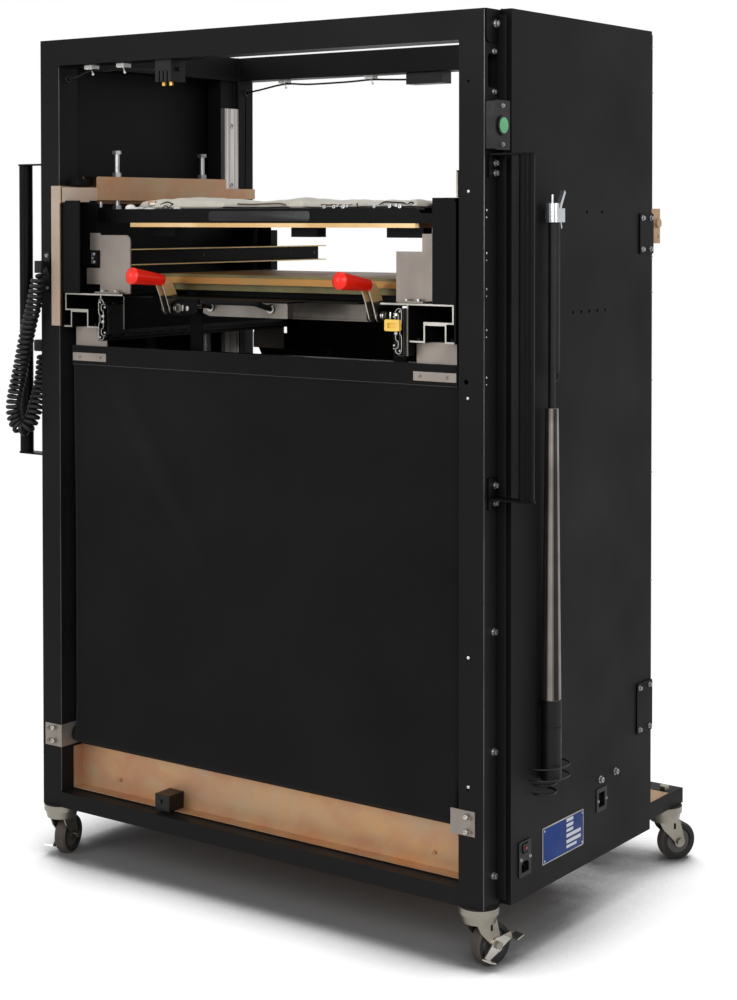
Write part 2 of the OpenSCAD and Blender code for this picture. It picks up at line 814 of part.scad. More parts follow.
module castor_at(side, rear) {
    place() translate([side * (castor_x + (rear ? 1.4 : 0)), rear ? rear_castor_y : front_castor_y, 0])
        rotate([0, 0, side * (rear ? rear_turn : front_turn)]) children();
}

module castor_fork_fr() { castor_at(1, false) color("#c2c3c4") fork(0, 3.2); }
module castor_fork_fl() { castor_at(-1, false) color("#c2c3c4") fork(0, 3.2); }
module castor_fork_rr() { castor_at(1, true) color("#c2c3c4") fork(base_lift, 0); }
module castor_fork_rl() { castor_at(-1, true) color("#c2c3c4") fork(base_lift, 0); }
module castor_wheel_fr() { castor_at(1, false) color("#3a3838") wheel(); }
module castor_wheel_fl() { castor_at(-1, false) color("#3a3838") wheel(); }
module castor_wheel_rr() { castor_at(1, true) color("#3a3838") wheel(); }
module castor_wheel_rl() { castor_at(-1, true) color("#3a3838") wheel(); }

// Brake pedal outside a front castor's leg, with a press-down arm and a release arm
module pedal(side) {
    x = side * (wheel_w / 2 + 4.8);
    translate([x, castor_trail, axle_z]) scale([side, 1, 1]) difference() {
        union() {
            rotate([90, 0, 90]) linear_extrude(2.6) {
                circle(13);
                polygon([[4, -10], [34, 6], [30, 17], [-2, 12]]);
                polygon([[-4, 11], [-30, -16], [-22, -24], [6, -10]]);
            }
            translate([0, 30, 6]) rotate([18, 0, 0]) cube([20, 16, 2.4]);
            translate([0, -34, -19]) rotate([-18, 0, 0]) cube([20, 14, 2.4]);
        }
        translate([-1, 0, 0]) rotate([0, 90, 0]) cylinder(d = 8 + 2 * fit, h = 5);
    }
}

module brake_pedal_fr() { castor_at(1, false) color("#d4d6d8") pedal(1); }
module brake_pedal_fl() { castor_at(-1, false) color("#d4d6d8") pedal(-1); }

// ---- Lift carriage ----

module carriage_sides() {
    raised = [61, carriage_back - 144];
    carried() color("#b1946c") {
        arm_plate(25);
        mirror([1, 0, 0]) arm_plate(carriage_front);
        both() difference() {
            union() {
                box(side_in - 37, side_in + eps, raised[0], raised[1], arm_top - sheet, arm_top);
                box(side_in - 37, side_in - 37 + sheet, raised[0], raised[1], 186, arm_top);
            }
            for (y = hanger_y) rod_z(arm_top - 4, arm_top + 1, level_x, y, level_d + 2 * fit);
        }
        box(-488, -side_out + eps, carriage_front, carriage_front + sheet, hat_foot + 2, arm_low);
    }
}

// Outer plate of one arm, from its front edge to the carriage's back
module arm_plate(front) {
    rear = carriage_back - 102;
    along_x(side_in, side_out) polygon([[front, 180], [front, arm_low], [57, arm_low], [61, arm_top],
        [rear - 42, arm_top], [rear - 38, arm_low], [carriage_back, arm_low], [carriage_back, 192],
            [rear + 4, 192],
        [rear, 178]]);
}

// Shelves and the hat channels under them
module shelf_channels() {
    f = carriage_front + 8;
    b = carriage_back;
    carried() color("#2a2a2a") {
        both() {
            along_y(f, b) {
                rect(shelf_in, shelf_out, 0, sheet);
                rect(shelf_out - sheet, shelf_out, hat_top, sheet);
                rect(hat_in, shelf_out, hat_top, hat_top + sheet);
                rect(slide_x, slide_x + sheet, slide_z0, sheet);
                rect(hat_in, hat_out, hat_top - sheet, hat_top);
                rect(hat_in, hat_in + sheet, hat_foot, hat_top);
                rect(hat_out - sheet, hat_out, hat_foot, hat_top);
                rect(hat_in - 29, hat_in + sheet, hat_foot, hat_foot + sheet);
                rect(hat_out - sheet, side_in, hat_foot, hat_foot + sheet);
            }
        }
        for (x = [-448, -382, 382, 452], y = [12, 80]) translate([x, y, hat_foot + sheet]) hex_head(11, 5);
    }
}

// Rail under the drawer with the two rest plates that the toggle plungers slide over
module latch_rail() {
    z0 = -115;
    y0 = keeper_y - 10;
    y1 = keeper_y + 15;
    rest_z = plunger_z - plunger_d / 2 - 0.6;
    carried() color("#2a2a2a") {
        box(-slide_x - 7, slide_x + 7, y0, y1, z0, z0 + sheet);
        both() {
            box(slide_x + 4, slide_x + 7, y0, y1, z0, hat_foot);
            box(slide_x + 4, hat_in - 29 + 6, y0, y1, hat_foot - sheet, hat_foot);
            box(toggle_x - 15, toggle_x + 15, keeper_y, keeper_y + sheet, z0 + sheet - eps, rest_z);
        }
    }
}

module uprights() {
    front = 185;
    drive_y = carriage_back - 50;
    carried() color("#2a2a2a") {
        both() {
            for (y = [0, carriage_back - 50]) {
                difference() {
                    box(upright_in, side_in, y, y + 50, sheet, front);
                    box(upright_in - 1, side_in - sheet, y + sheet, y + 50 - sheet, sheet - 1, front + 1);
                }
            }
            // Backing sheet that closes the side under the arm
            box(side_in, side_out, carriage_front + 3.5, carriage_back, hat_foot, 177.9);
            // Rear drive housing and its shelf
            box(359, side_in, drive_y - 22, drive_y, 40, 124);
            box(359, side_in, drive_y - 52, drive_y, 37, 40);
            box(drawer_half + sheet, 359 + eps, drive_y - 22, drive_y, 60, 88);
            rod_z(40 - eps, 124, 394, drive_y - 37, 16);
        }
        box(-side_in, -side_in + 25, 20, 60, arm_low + 1, arm_low + 14);
    }
}

// Front rail and hanger bars that carry the upper platen, its pads and the glides on the lift rails
module platen_hangers() {
    z = up_z + up_t;
    carried() color("#1f1f1f") {
        difference() {
            along_x(-408, 408) {
                rect(up_front, up_front + sheet, z, z + 27);
                rect(up_front, up_front + 25, z, z + sheet);
                rect(up_front, up_front + 25, z + 27 - sheet, z + 27);
            }
            along_y(up_front - 1, up_front + 26)
                polygon([[337.5, z + 28], [337.5, z + 27], [347, z + 18], [409, z + 18], [409, z + 28]]);
        }
        for (y = hanger_y) tube_box(-level_x - 14, level_x + 14, y - 15, y + 15, z, z + 27);
        for (x = [[-338, -254], [34, 95], [252, 332]]) box(x[0], x[1], 98, 125, up_z - 18, up_z);
        both() for (z = [[-25, 30], [150, 176]])
            box(side_out, rail_x - 0.3, rail_y + 6, rear_y - 5, z[0], z[1]);
    }
}

module upper_platen() {
    carried() color("#b08b58") translate([0, 0, up_z]) linear_extrude(up_t)
        polygon([[-up_half, up_front], [up_half - 5, up_front], [up_half, up_front + 5],
            [up_half, up_front + up_d], [-up_half, up_front + up_d]]);
}

module insulation_blanket() {
    z = up_z + up_t + 27;
    carried() color("#d9d6cf") translate([0, 0, z]) linear_extrude(blanket_t)
        round_rect(6 - up_half, up_half - 6, up_front + 8, up_front + up_d - 5, 18);
}

module side_channels() {
    web = drawer_half + sheet;
    channel_end = carriage_back + 77;
    carried() color("#8a7550") both() difference() {
        along_y(39, channel_end) {
            rect(web - sheet, web, 58, 90);
            rect(web - 21, web, 58, 60);
            rect(web - 21, web, 88, 90);
        }
        box(web - 30, web + 1, channel_end - 5, channel_end + 1, 60, 88);
        for (y = [286, 573, channel_end - 19]) rod_x(web - 9, web + 9, y, 74, 4);
    }
}

module side_brackets() {
    clamp_in = slide_x + sheet + 3;
    carried() color("#9b9da0") {
        along_y(36, 39) {
            difference() {
                rect(-395, -315, 3, 117);
                translate([-315, 117]) square(24, center = true);
            }
            translate([-327, 105]) circle(12);
            rect(-422, -395 + eps, 87, 121);
            rect(-431, -395 + eps, 20, 52);
            rect(316, 393, 6, 92);
            rect(316, 383, 3, 7);
            rect(371, 393, 91, 123);
        }
        for (x = [[-395, -330], [330, 383]]) box(x[0], x[1], 20, 36 + eps, 3, 6);
        for (x = [-380, -345, 345, 370]) translate([x, 28, 6]) hex_head(9, 4);
        both() {
            box(clamp_in, 450, 25, 28, clamp_z0, hat_foot);
            box(clamp_in, 450, 28 - eps, 60, hat_foot - sheet, hat_foot);
            box(clamp_in, 450, carriage_back - 19, carriage_back - 16, clamp_z0, hat_foot);
            box(clamp_in, 450, carriage_back - 52, carriage_back - 19 + eps, hat_foot - sheet, hat_foot);
        }
        for (y = [front_cloth_y + cloth, rear_cloth_y - sheet])
            box(-curtain_half, curtain_half, y, y + sheet, clamp_z0, curtain_top + 1);
        // The rear bar reaches up between the slides' hangers
        box(0.3 - slide_x, slide_x - 0.3, rear_cloth_y - sheet, rear_cloth_y, curtain_top, hat_foot);
        both() box(364, 453, front_cloth_y - 2, front_cloth_y, clamp_z0 + 5, clamp_z0 + 21);
        both() for (x = [378, 434]) translate([x, front_cloth_y - 2, clamp_z0 + 13]) rotate([90, 0, 0])
            cap_screw(3);
    }
}

module levelling_bolts() {
    z = up_z + up_t + 27;
    carried() color("#c5c6c8") both() for (y = hanger_y) translate([level_x, y, 0]) {
        translate([0, 0, z]) cylinder(d = level_d, h = 279 - z + eps);
        translate([0, 0, 279]) hex_head(19, 7);
        translate([0, 0, arm_top]) hex_head(19, 9);
        translate([0, 0, z]) hex_head(19, 8);
    }
}

// ---- Ball-bearing slides ----

// One slide member's section: a web and two lips, in X from the drawer and Z from the middle
module member(web, reach, half) {
    rect(web, web + slide_sheet, -half, half);
    for (s = [-1, 1]) translate([0, s * (half - slide_sheet / 2)])
        rect(min(web, reach), max(web + slide_sheet, reach), -slide_sheet / 2, slide_sheet / 2);
}

module outer_slides() {
    carried() color("#b5b8bc") both() difference() {
        along_y(carriage_front, carriage_front + slide_len) translate([drawer_half, slide_mid])
            member(slide_t - slide_sheet, slide_t - 13, slide_h / 2);
        for (y = [40 : 96 : slide_len - 30]) rod_x(slide_x - 9, slide_x + 1, y, slide_mid, 9);
    }
}

module middle_slides() {
    carried() color("#aeb1b5") both() translate([drawer_half, 0, slide_mid]) {
        along_y(carriage_front + 2, carriage_front + slide_len - 6) {
            member(mid_web, slide_t - 3, mid_half);
            member(mid_web, 2.2, mid_half);
        }
        for (s = [-1, 1], i = [0 : balls - 1]) {
            translate([slide_t - 6, 20 + 36 * i, s * (mid_half + ball_d / 2 - 0.1)])
                sphere(d = ball_d, $fn = 24);
            translate([5, 20 + 36 * i, s * (mid_half - slide_sheet - ball_d / 2 + 0.1)])
                sphere(d = ball_d, $fn = 24);
        }
    }
}

// Drawer members of the slides and the toggle clamps' bases
module inner_slides() {
    carried() color("#b5b8bc") both() {
        difference() {
            along_y(0, slide_len - 12) translate([drawer_half, slide_mid])
                member(0, mid_web - 1.2, in_half);
            for (y = [60 : 110 : slide_len - 60]) rod_x(drawer_half - 1, drawer_half + 5, y, slide_mid, 6);
        }
        difference() {
            for (s = [-1, 1]) translate([toggle_x + s * base_x - 1.25, 0, 0]) along_x(0, 2.5) {
                translate([pivot_y, pivot_z]) circle(13);
                polygon([[pivot_y, pivot_z + 13], [pivot_y, pivot_z - 13], [100, -40], [140, -36],
                    [140, -4],
                    [100, -4]]);
            }
            rod_x(toggle_x - 20, toggle_x + 20, pivot_y, pivot_z, 8);
        }
        rod_x(toggle_x - 17, toggle_x + 19, pivot_y, pivot_z, 8);
        for (x = [-base_x - 3.9, base_x + 1.2])
            rod_x(toggle_x + x, toggle_x + x + 2.7, pivot_y, pivot_z, 14);
        translate([toggle_x + base_x + 3.8, pivot_y, pivot_z]) rotate([0, 90, 0])
            cylinder(d = 13, h = 4, $fn = 6);
        box(toggle_x - base_x - 1.2, toggle_x + base_x + 1.2, 100, 140, -7, -4);
        difference() {
            box(toggle_x - base_x + 1, toggle_x + base_x - 1, 119, 139, -33, -7 + eps);
            rod_y(118, 140, toggle_x, plunger_z, plunger_d + 2 * fit);
        }
    }
}

// ---- Drawer ----

module drawer_body() {
    y0 = 43;
    y1 = y0 + drawer_len;
    foot = 71;
    carried() color("#232323") {
        difference() {
            union() {
                box(-drawer_half, drawer_half, y0, y1, -4, -1);
                both() box(drawer_half - sheet, drawer_half, y0, y1, -4 - drawer_wall, -4 + eps);
                box(-90, 107, -6, y0 + eps, -4, -1);
            }
            both() box(toggle_x - 17, toggle_x + 17, y0 - 1, 98, -5, 0);
            both() rod_x(drawer_half - 9, drawer_half + 1, 89, -49, 5);
        }
        // Bow handle
        both() rod_y(-12, -9, foot, -14, 17);
        sweep([[foot, -11, -14], [foot - 1, -22, -11], [foot - 5, -34, -7], [foot - 14, -pull_reach, -3],
            [0, -pull_reach, -3], [14 - foot, -pull_reach, -3], [5 - foot, -34, -7], [1 - foot, -22, -11],
            [-foot, -11, -14]], pull_d / 2, 16, 4, [0.1, 0.1, 1]);
    }
}

module drawer_front() {
    carried() color("#8b8a86") {
        along_y(-9, -6) polygon([[-81, -4], [-81, -17], [-90, -17], [-90, -26], [-74, -31], [107, -31],
            [107, -4]]);
        box(107 - eps, 109, -9, 8, -31, -5);
        along_y(93, 96) rect(20, toggle_x - base_x - 3, -37, -4);
        box(20, toggle_x - base_x - 3, 86, 93 + eps, -37, -35);
    }
}

module lower_platen() {
    y1 = low_y + low_d;
    top = low_z + low_h;
    face_z = top - 18;
    step_z = top - 31;
    carried() color("#a88a4c") difference() {
        union() {
            box(-low_half, low_half, low_y, y1, face_z, top);
            box(-low_half, low_half, low_y - 2, low_y + eps, top - 5, top);
            box(12 - low_half, low_half - 12, low_y + 12, y1 - 12, step_z, face_z + eps);
            box(40 - low_half, low_half - 40, low_y + 40, y1 - 40, low_z, step_z + eps);
        }
        box(42 - low_half, low_half - 42, low_y + 42, y1 - 42, low_z - 1, step_z + 2 + eps);
        box(14 - low_half, low_half - 14, low_y + 14, y1 - 14, step_z + 2, face_z + 2);
        box(2 - low_half, low_half - 2, low_y + 2, y1 - 2, face_z + 2 - eps, top - 3);
    }
}

// A toggle clamp's lever with its grip
module lever() {
    difference() {
        union() {
            for (s = [-1, 1]) translate([toggle_x + s * lever_x - 1.25, 0, 0]) along_x(0, 2.5) {
                translate([pivot_y, pivot_z]) circle(12);
                polygon([[62, pivot_z], [60, -20], [52, 0], [42, 20], [40, 36], [60, 34], [73, 22],
                    [83, 3], [90, -8],
                    [85, pivot_z - 4]]);
            }
            box(toggle_x - lever_x, toggle_x + lever_x, 53, 56, 24, 33);
        }
        rod_x(toggle_x - 20, toggle_x + 20, pivot_y, pivot_z, 8 + 2 * fit);
    }
}

module grip() {
    r = grip_d / 2;
    end = grip_len - r / 2;
    translate([toggle_x, grip_back, grip_z]) rotate([90 - grip_tilt, 0, 0]) rotate_extrude()
        intersection() {
        polygon([[0, 0], [r * 0.6, 0], [r * 0.68, 2], [r, end], [r, grip_len], [0, grip_len]]);
        translate([0, grip_len - 1.25 * r]) circle(1.25 * r);
    }
    translate([toggle_x, grip_back, grip_z]) rotate([90 - grip_tilt, 0, 0]) rotate_extrude()
        polygon([[0, 0], [r * 0.6, 0], [r * 0.68, 2], [r, end], [0, end]]);
}

module toggle_lever_r() {
    carried() {
        color("#b9bbbd") lever();
        color("#d63a2a") grip();
    }
}

module toggle_lever_l() {
    carried() mirror([1, 0, 0]) {
        color("#b9bbbd") lever();
        color("#d63a2a") grip();
    }
}

module plunger() {
    rod_y(plunger_front, keeper_y + 15, toggle_x, plunger_z, plunger_d);
    rod_y(plunger_front + 2, plunger_front + 9, toggle_x, plunger_z, plunger_d + 3.4);
}

module plunger_r() {
    carried() color("#c9c9c9") plunger();
}

module plunger_l() {
    carried() color("#c9c9c9") mirror([1, 0, 0]) plunger();
}

module release_tab() {
    carried() color("#d9b13a") {
        difference() {
            along_y(-13, -6) round_rect(325, 356, -45, -25, 3);
            box(331, 350, -14, -9, -40, -31);
        }
        box(drawer_half + slide_sheet + 0.3, drawer_half + 4.5, -6 - eps, 22, -38, -32);
        rod_x(drawer_half + slide_sheet + 0.3, drawer_half + 4.5, tab_pin[0], tab_pin[1], 8);
    }
}

// ---- Lift rods ----

module lift_rods() {
    carried() color("#c4c6c9") both() {
        rod_z(rod_bottom - shelf_z, 176 + eps, lift_x, lift_y, lift_rod_d);
        box(side_out, lift_x + lift_rod_d / 2, lift_y - 15, lift_y + 15, 182, 206);
        rod_z(176, 182 + eps, lift_x, lift_y, lift_rod_d + 6);
    }
}

front_frame();
rear_frame();
base_frame();
zinc_trays();
lift_rails();
lift_actuators();
right_side_panel();
left_side_panel();
corner_plates();
frame_screws();
side_handles();
control_boxes();
inlet_panel();
wand_socket();
roller_brackets();
batteries();
wiring_blocks();
top_wires();
castor_stems();
coil_cord();
start_button();
power_switch();
front_roller();
rear_roller();
wand();
wand_lever();
castor_fork_fr();
castor_fork_fl();
castor_fork_rr();
castor_fork_rl();
castor_wheel_fr();
castor_wheel_fl();
castor_wheel_rr();
castor_wheel_rl();
brake_pedal_fr();
brake_pedal_fl();
carriage_sides();
shelf_channels();
latch_rail();
uprights();
platen_hangers();
upper_platen();
insulation_blanket();
side_channels();
side_brackets();
levelling_bolts();
outer_slides();
lift_rods();
front_curtain();
rear_curtain();
drawer_body();
drawer_front();
lower_platen();
inner_slides();
middle_slides();
toggle_lever_r();
toggle_lever_l();
plunger_r();
plunger_l();
release_tab();
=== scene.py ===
"""Looks of the rolling dry mounting press: materials, cloth, cord, small trim and a plain studio."""

import json
import math

import bmesh
import bpy
from mathutils import Euler, Matrix, Vector, noise


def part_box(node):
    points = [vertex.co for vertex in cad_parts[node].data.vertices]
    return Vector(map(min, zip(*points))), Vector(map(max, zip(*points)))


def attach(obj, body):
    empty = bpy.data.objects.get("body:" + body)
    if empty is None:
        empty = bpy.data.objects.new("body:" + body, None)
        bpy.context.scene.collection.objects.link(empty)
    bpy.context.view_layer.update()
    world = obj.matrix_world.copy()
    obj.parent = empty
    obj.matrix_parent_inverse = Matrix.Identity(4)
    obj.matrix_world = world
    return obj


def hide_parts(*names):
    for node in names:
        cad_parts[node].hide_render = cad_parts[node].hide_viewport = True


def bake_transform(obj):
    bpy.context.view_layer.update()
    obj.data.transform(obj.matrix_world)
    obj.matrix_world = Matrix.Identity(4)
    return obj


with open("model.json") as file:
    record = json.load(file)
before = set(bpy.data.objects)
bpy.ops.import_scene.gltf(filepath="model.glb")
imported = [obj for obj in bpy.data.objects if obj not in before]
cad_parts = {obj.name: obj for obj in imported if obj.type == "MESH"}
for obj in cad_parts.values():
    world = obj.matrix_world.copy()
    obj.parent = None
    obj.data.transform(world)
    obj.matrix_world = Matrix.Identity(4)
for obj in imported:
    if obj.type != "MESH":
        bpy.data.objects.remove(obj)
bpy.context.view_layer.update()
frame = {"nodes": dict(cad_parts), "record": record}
NODES = frame["nodes"]
SCENE = bpy.context.scene
MATERIALS = {}

# ---- The source's own places, in metres from the frame's front face, middle and bottom ----

Y_MID = 0.362766780359426
CASTOR_H = 0.108
MM_PER_M = 1000
SHELF_Z = 1.022
PANEL_X = 0.5404
CORD_R = 0.015
CORD_ROUTE_MM = [
    (-506, -20, 1060.8), (-517, -22, 1010), (-536, -23, 950), (-557, -24, 870),
    (-575, -24, 805), (-574, -22, 770), (-560, -18, 752), (-546, -10, 762),
    (-541, 4, 800), (-540, 20, 850), (-540, 26, 903.2),
]
CORD_D = 0.0085
CORD_PITCH = 0.0104
RIGHT, FRONT, BACK, UP = (1, 0, 0), (0, -1, 0), (0, 1, 0), (0, 0, 1)


def at(x, y, z):
    """A point of the frame, in the row frame."""
    return Vector((x, y - Y_MID, z + CASTOR_H))


def carried(x, y, z):
    """A point of the lift carriage, measured from its shelves."""
    return at(x, y, z + SHELF_Z)


def having(thing, **values):
    """Sets properties of a Blender thing, and gives it back."""
    for name, value in values.items():
        setattr(thing, name, value)
    return thing


def link(name, data, body=None):
    obj = bpy.data.objects.new(name, data)
    SCENE.collection.objects.link(obj)
    if body:
        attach(obj, body)
    return obj


# ---- Camera ----

FOCAL_PX = 1932.65
IMAGE_W, IMAGE_H = 737, 1000
PRINCIPAL = (360.3, 261.4)
SENSOR = 36.0
CAMERA_PLACE = (2.2547, -2.7435, 1.1745)
CAMERA_TURN = (90 - 1.32, 0.035, 35.96)


def make_camera():
    data = having(
        bpy.data.cameras.new("camera"), sensor_width=SENSOR, lens=FOCAL_PX * SENSOR / IMAGE_H,
        shift_x=(IMAGE_W / 2 - PRINCIPAL[0]) / IMAGE_H, shift_y=(PRINCIPAL[1] - IMAGE_H / 2) / IMAGE_H,
        clip_end=60)
    camera = link("camera", data)
    camera.location = at(*CAMERA_PLACE)
    camera.rotation_euler = Euler([math.radians(a) for a in CAMERA_TURN], "XYZ")
    SCENE.camera = camera


# ---- Mesh helpers ----


def smooth_piece(name, data, body, materials):
    """Adds a mesh with smooth faces and materials by their names."""
    for polygon in data.polygons:
        polygon.use_smooth = True
    for material in materials:
        data.materials.append(MATERIALS[material])
    return link(name, data, body)


def mesh_piece(name, verts, faces, body, material):
    data = bpy.data.meshes.new(name)
    data.from_pydata([tuple(v) for v in verts], [], faces)
    data.validate()
    data.update()
    return smooth_piece(name, data, body, [material])


def bevelled(work, width):
    """Rounds every sharp edge of a bmesh."""
    sharp = [e for e in work.edges if len(e.link_faces) == 2 and e.calc_face_angle(0) > 0.5]
    if sharp and width > 0:
        bmesh.ops.bevel(
            work, geom=sharp, offset=width, segments=2, profile=0.7, affect="EDGES", clamp_overlap=True)


def finish(name, work, body, materials):
    """Makes a bmesh a piece that rides a body, with the named material, or a list of them for its slots.
    """
    bmesh.ops.recalc_face_normals(work, faces=work.faces)
    data = bpy.data.meshes.new(name)
    work.to_mesh(data)
    work.free()
    materials = materials if isinstance(materials, list) else [materials]
    piece = smooth_piece(name, data, body, materials)
    data.set_sharp_from_angle(angle=math.radians(40))


def add_box(work, low, high, width=0.0006, slot=0):
    """A rounded block between two corners."""
    low, high = Vector(low), Vector(high)
    part = bmesh.new()
    spot = Matrix.Translation((low + high) / 2) @ Matrix.Diagonal((*(high - low), 1))
    bmesh.ops.create_cube(part, size=1, matrix=spot)
    bevelled(part, width)
    take(work, part, slot)


def take(work, part, slot=0):
    """Adds a part to a bmesh, in one of its materials."""
    for face in part.faces:
        face.material_index = slot
    data = bpy.data.meshes.new("part")
    part.to_mesh(data)
    part.free()
    work.from_mesh(data)
    bpy.data.meshes.remove(data)


def add_turned(work, profile, place, axis, sides=20, slot=0):
    """A lathe form: (radius, height) pairs along an axis from a place."""
    place = Vector(place)
    turn = Vector(axis).normalized().to_track_quat("Z", "Y").to_matrix()
    part = bmesh.new()
    rings = []
    for radius, height in profile:
        angles = [2 * math.pi * k / sides for k in range(sides)] if radius > 1e-6 else [0]
        rings.append([part.verts.new(
            place + turn @ Vector((radius * math.cos(a), radius * math.sin(a), height))) for a in angles])
    for low, high in zip(rings, rings[1:]):
        for k in range(sides):
            a, b = low[k % len(low)], low[(k + 1) % len(low)]
            c, d = high[(k + 1) % len(high)], high[k % len(high)]
            corners = list(dict.fromkeys([a, b, c, d]))
            if len(corners) > 2:
                part.faces.new(corners)
    for ring in (rings[0], rings[-1]):
        if len(ring) > 2:
            part.faces.new(ring)
    take(work, part, slot)


def add_prism(work, outline, origin, u, v, depth, width=0.0, slot=0):
    """A flat outline in the directions u and v, pushed out along depth, with rounded edges."""
    part = bmesh.new()
    u, v, depth = Vector(u), Vector(v), Vector(depth)
    low = [part.verts.new(Vector(origin) + u * a + v * b) for a, b in outline]
    high = [part.verts.new(p.co + depth) for p in low]
    part.faces.new(low)
    part.faces.new(high)
    for k in range(len(low)):
        part.faces.new([low[k], low[(k + 1) % len(low)], high[(k + 1) % len(low)], high[k]])
    bmesh.ops.recalc_face_normals(part, faces=part.faces)
    bevelled(part, width)
    take(work, part, slot)


def rounded(x0, x1, y0, y1, r, steps=4):
    """Outline of a rectangle with round corners."""
    points = []
    corners = ((x1 - r, y1 - r), (x0 + r, y1 - r), (x0 + r, y0 + r), (x1 - r, y0 + r))
    for start, (cx, cy) in zip((0, 90, 180, 270), corners):
        for k in range(steps + 1):
            a = math.radians(start + 90 * k / steps)
            points.append((cx + r * math.cos(a), cy + r * math.sin(a)))
    return points


def paint_where(node, material, test):
    """Gives the faces of a CAD node that pass the test another material.

    The test is given a face's middle, in millimetres of the frame, and its normal."""
    data = NODES[node].data
    data.materials.append(MATERIALS[material])
    slot = len(data.materials) - 1
    for polygon in data.polygons:
        c = polygon.center
        place = (c.x * MM_PER_M, (c.y + Y_MID) * MM_PER_M, (c.z - CASTOR_H) * MM_PER_M)
        if test(*place, polygon.normal):
            polygon.material_index = slot


def spline_points(route, steps):
    """A smooth line through the route's points."""
    points = []
    last = len(route) - 1
    for i in range(last):
        a, b = route[max(i - 1, 0)], route[i]
        c, d = route[i + 1], route[min(i + 2, last)]
        for k in range(steps):
            t = k / steps
            place = b + t * (c - a) / 2 + t * t * (a - 2.5 * b + 2 * c - d / 2)
            points.append(place + t**3 * (1.5 * b - 1.5 * c + (d - a) / 2))
    points.append(route[last].copy())
    return points


def curve_piece(name, points, radius, body, material):
    data = having(
        bpy.data.curves.new(name, "CURVE"), dimensions="3D", bevel_depth=radius, bevel_resolution=2,
        use_fill_caps=True)
    spline = data.splines.new("POLY")
    spline.points.add(len(points) - 1)
    for point, place in zip(spline.points, points):
        point.co = (*place, 1)
    data.materials.append(MATERIALS[material])
    return link(name, data, body)


def wire(name, points, radius, body, material):
    """A thin round wire, smooth through its points."""
    curve_piece(name, spline_points(points, 6), radius, body, material)


def grid_faces(columns, rows, first=0, flip=False):
    """Faces of a grid of points that runs row by row from the first."""
    across = columns + 1
    faces = []
    for j in range(rows):
        for i in range(columns):
            a = first + j * across + i
            around = (a, a + 1, a + 1 + across, a + across)
            faces.append((a, a + across, a + 1 + across, a + 1) if flip else around)
    return faces


# ---- Materials ----


def srgb(text):
    parts = [int(text[k : k + 2], 16) / 255 for k in (1, 3, 5)]
    return tuple(p / 12.92 if p <= 0.04045 else ((p + 0.055) / 1.055) ** 2.4 for p in parts) + (1,)


def fill(node, **sockets):
    """Sets a node's own inputs by their names, with _ for a space."""
    for socket, value in sockets.items():
        node.inputs[socket.replace("_", " ")].default_value = value
    return node


class Look:
    """One procedural material: coordinates, layers of colour, roughness and bump."""

    def __init__(self, name, base, metallic=0.0, **sockets):
        self.material = bpy.data.materials.new(name)
        self.material.use_nodes = True
        self.tree = self.material.node_tree
        self.base = srgb(base)
        self.shader = self.tree.nodes["Principled BSDF"]
        fill(self.shader, Base_Color=self.base, Metallic=metallic, **sockets)
        self.coords = self.node("TexCoord").outputs["Object"]
        self.colour = None
        self.normal = None

    def node(self, kind, **values):
        return having(self.tree.nodes.new("ShaderNode" + kind), **values)

    def wire(self, a, b):
        self.tree.links.new(a, b)

    def mapped(self, scale):
        """The object's coordinates, scaled."""
        mapping = fill(self.node("Mapping"), Scale=scale)
        self.wire(self.coords, mapping.inputs["Vector"])
        return mapping.outputs["Vector"]

    def noise(self, scale, detail=3.0, stretch=(1, 1, 1), distortion=0.0):
        made = fill(self.node("TexNoise"), Scale=scale, Detail=detail, Distortion=distortion)
        self.wire(self.mapped(stretch), made.inputs["Vector"])
        return made.outputs["Fac"]

    def wave(self, scale, direction):
        made = self.node("TexWave", wave_type="BANDS", bands_direction=direction)
        fill(made, Scale=scale, Distortion=0)
        self.wire(self.coords, made.inputs["Vector"])
        return made.outputs["Fac"]

    def spread(self, fac, low, high, to_low=0.0, to_high=1.0):
        made = fill(
            self.node("MapRange"), From_Min=low, From_Max=high, To_Min=to_low, To_Max=to_high)
        self.wire(fac, made.inputs["Value"])
        return made.outputs["Result"]

    def tint(self, fac, colour, low=0.35, high=0.65, amount=1.0):
        """Lays a colour over the one so far where fac is high."""
        mix = self.node("Mix", data_type="RGBA")
        self.wire(self.spread(fac, low, high, 0.0, amount), mix.inputs["Factor"])
        under, over = [s for s in mix.inputs if s.type == "RGBA"]
        under.default_value = self.base
        over.default_value = srgb(colour)
        if self.colour:
            self.wire(self.colour, under)
        self.colour = [s for s in mix.outputs if s.type == "RGBA"][0]
        self.wire(self.colour, self.shader.inputs["Base Color"])

    def rough(self, fac, low, high):
        self.wire(self.spread(fac, 0.3, 0.7, low, high), self.shader.inputs["Roughness"])

    def bump(self, fac, distance, strength):
        made = fill(self.node("Bump"), Distance=distance, Strength=strength)
        self.wire(fac, made.inputs["Height"])
        if self.normal:
            self.wire(self.normal, made.inputs["Normal"])
        self.normal = made.outputs["Normal"]
        self.wire(self.normal, self.shader.inputs["Normal"])


def powder_coat(name, base, light, rough, specular):
    """Paint with faint clouds, pale specks and a fine bumpy skin."""
    look = Look(name, base, Specular_IOR_Level=specular)
    look.tint(look.noise(3.0, 4), light, 0.35, 0.75, 0.7)
    look.tint(look.noise(260, 2), light, 0.62, 0.8, 0.5)
    look.rough(look.noise(6, 3), *rough)
    look.bump(look.noise(700, 2), 0.0002, 0.35)
    return look.material


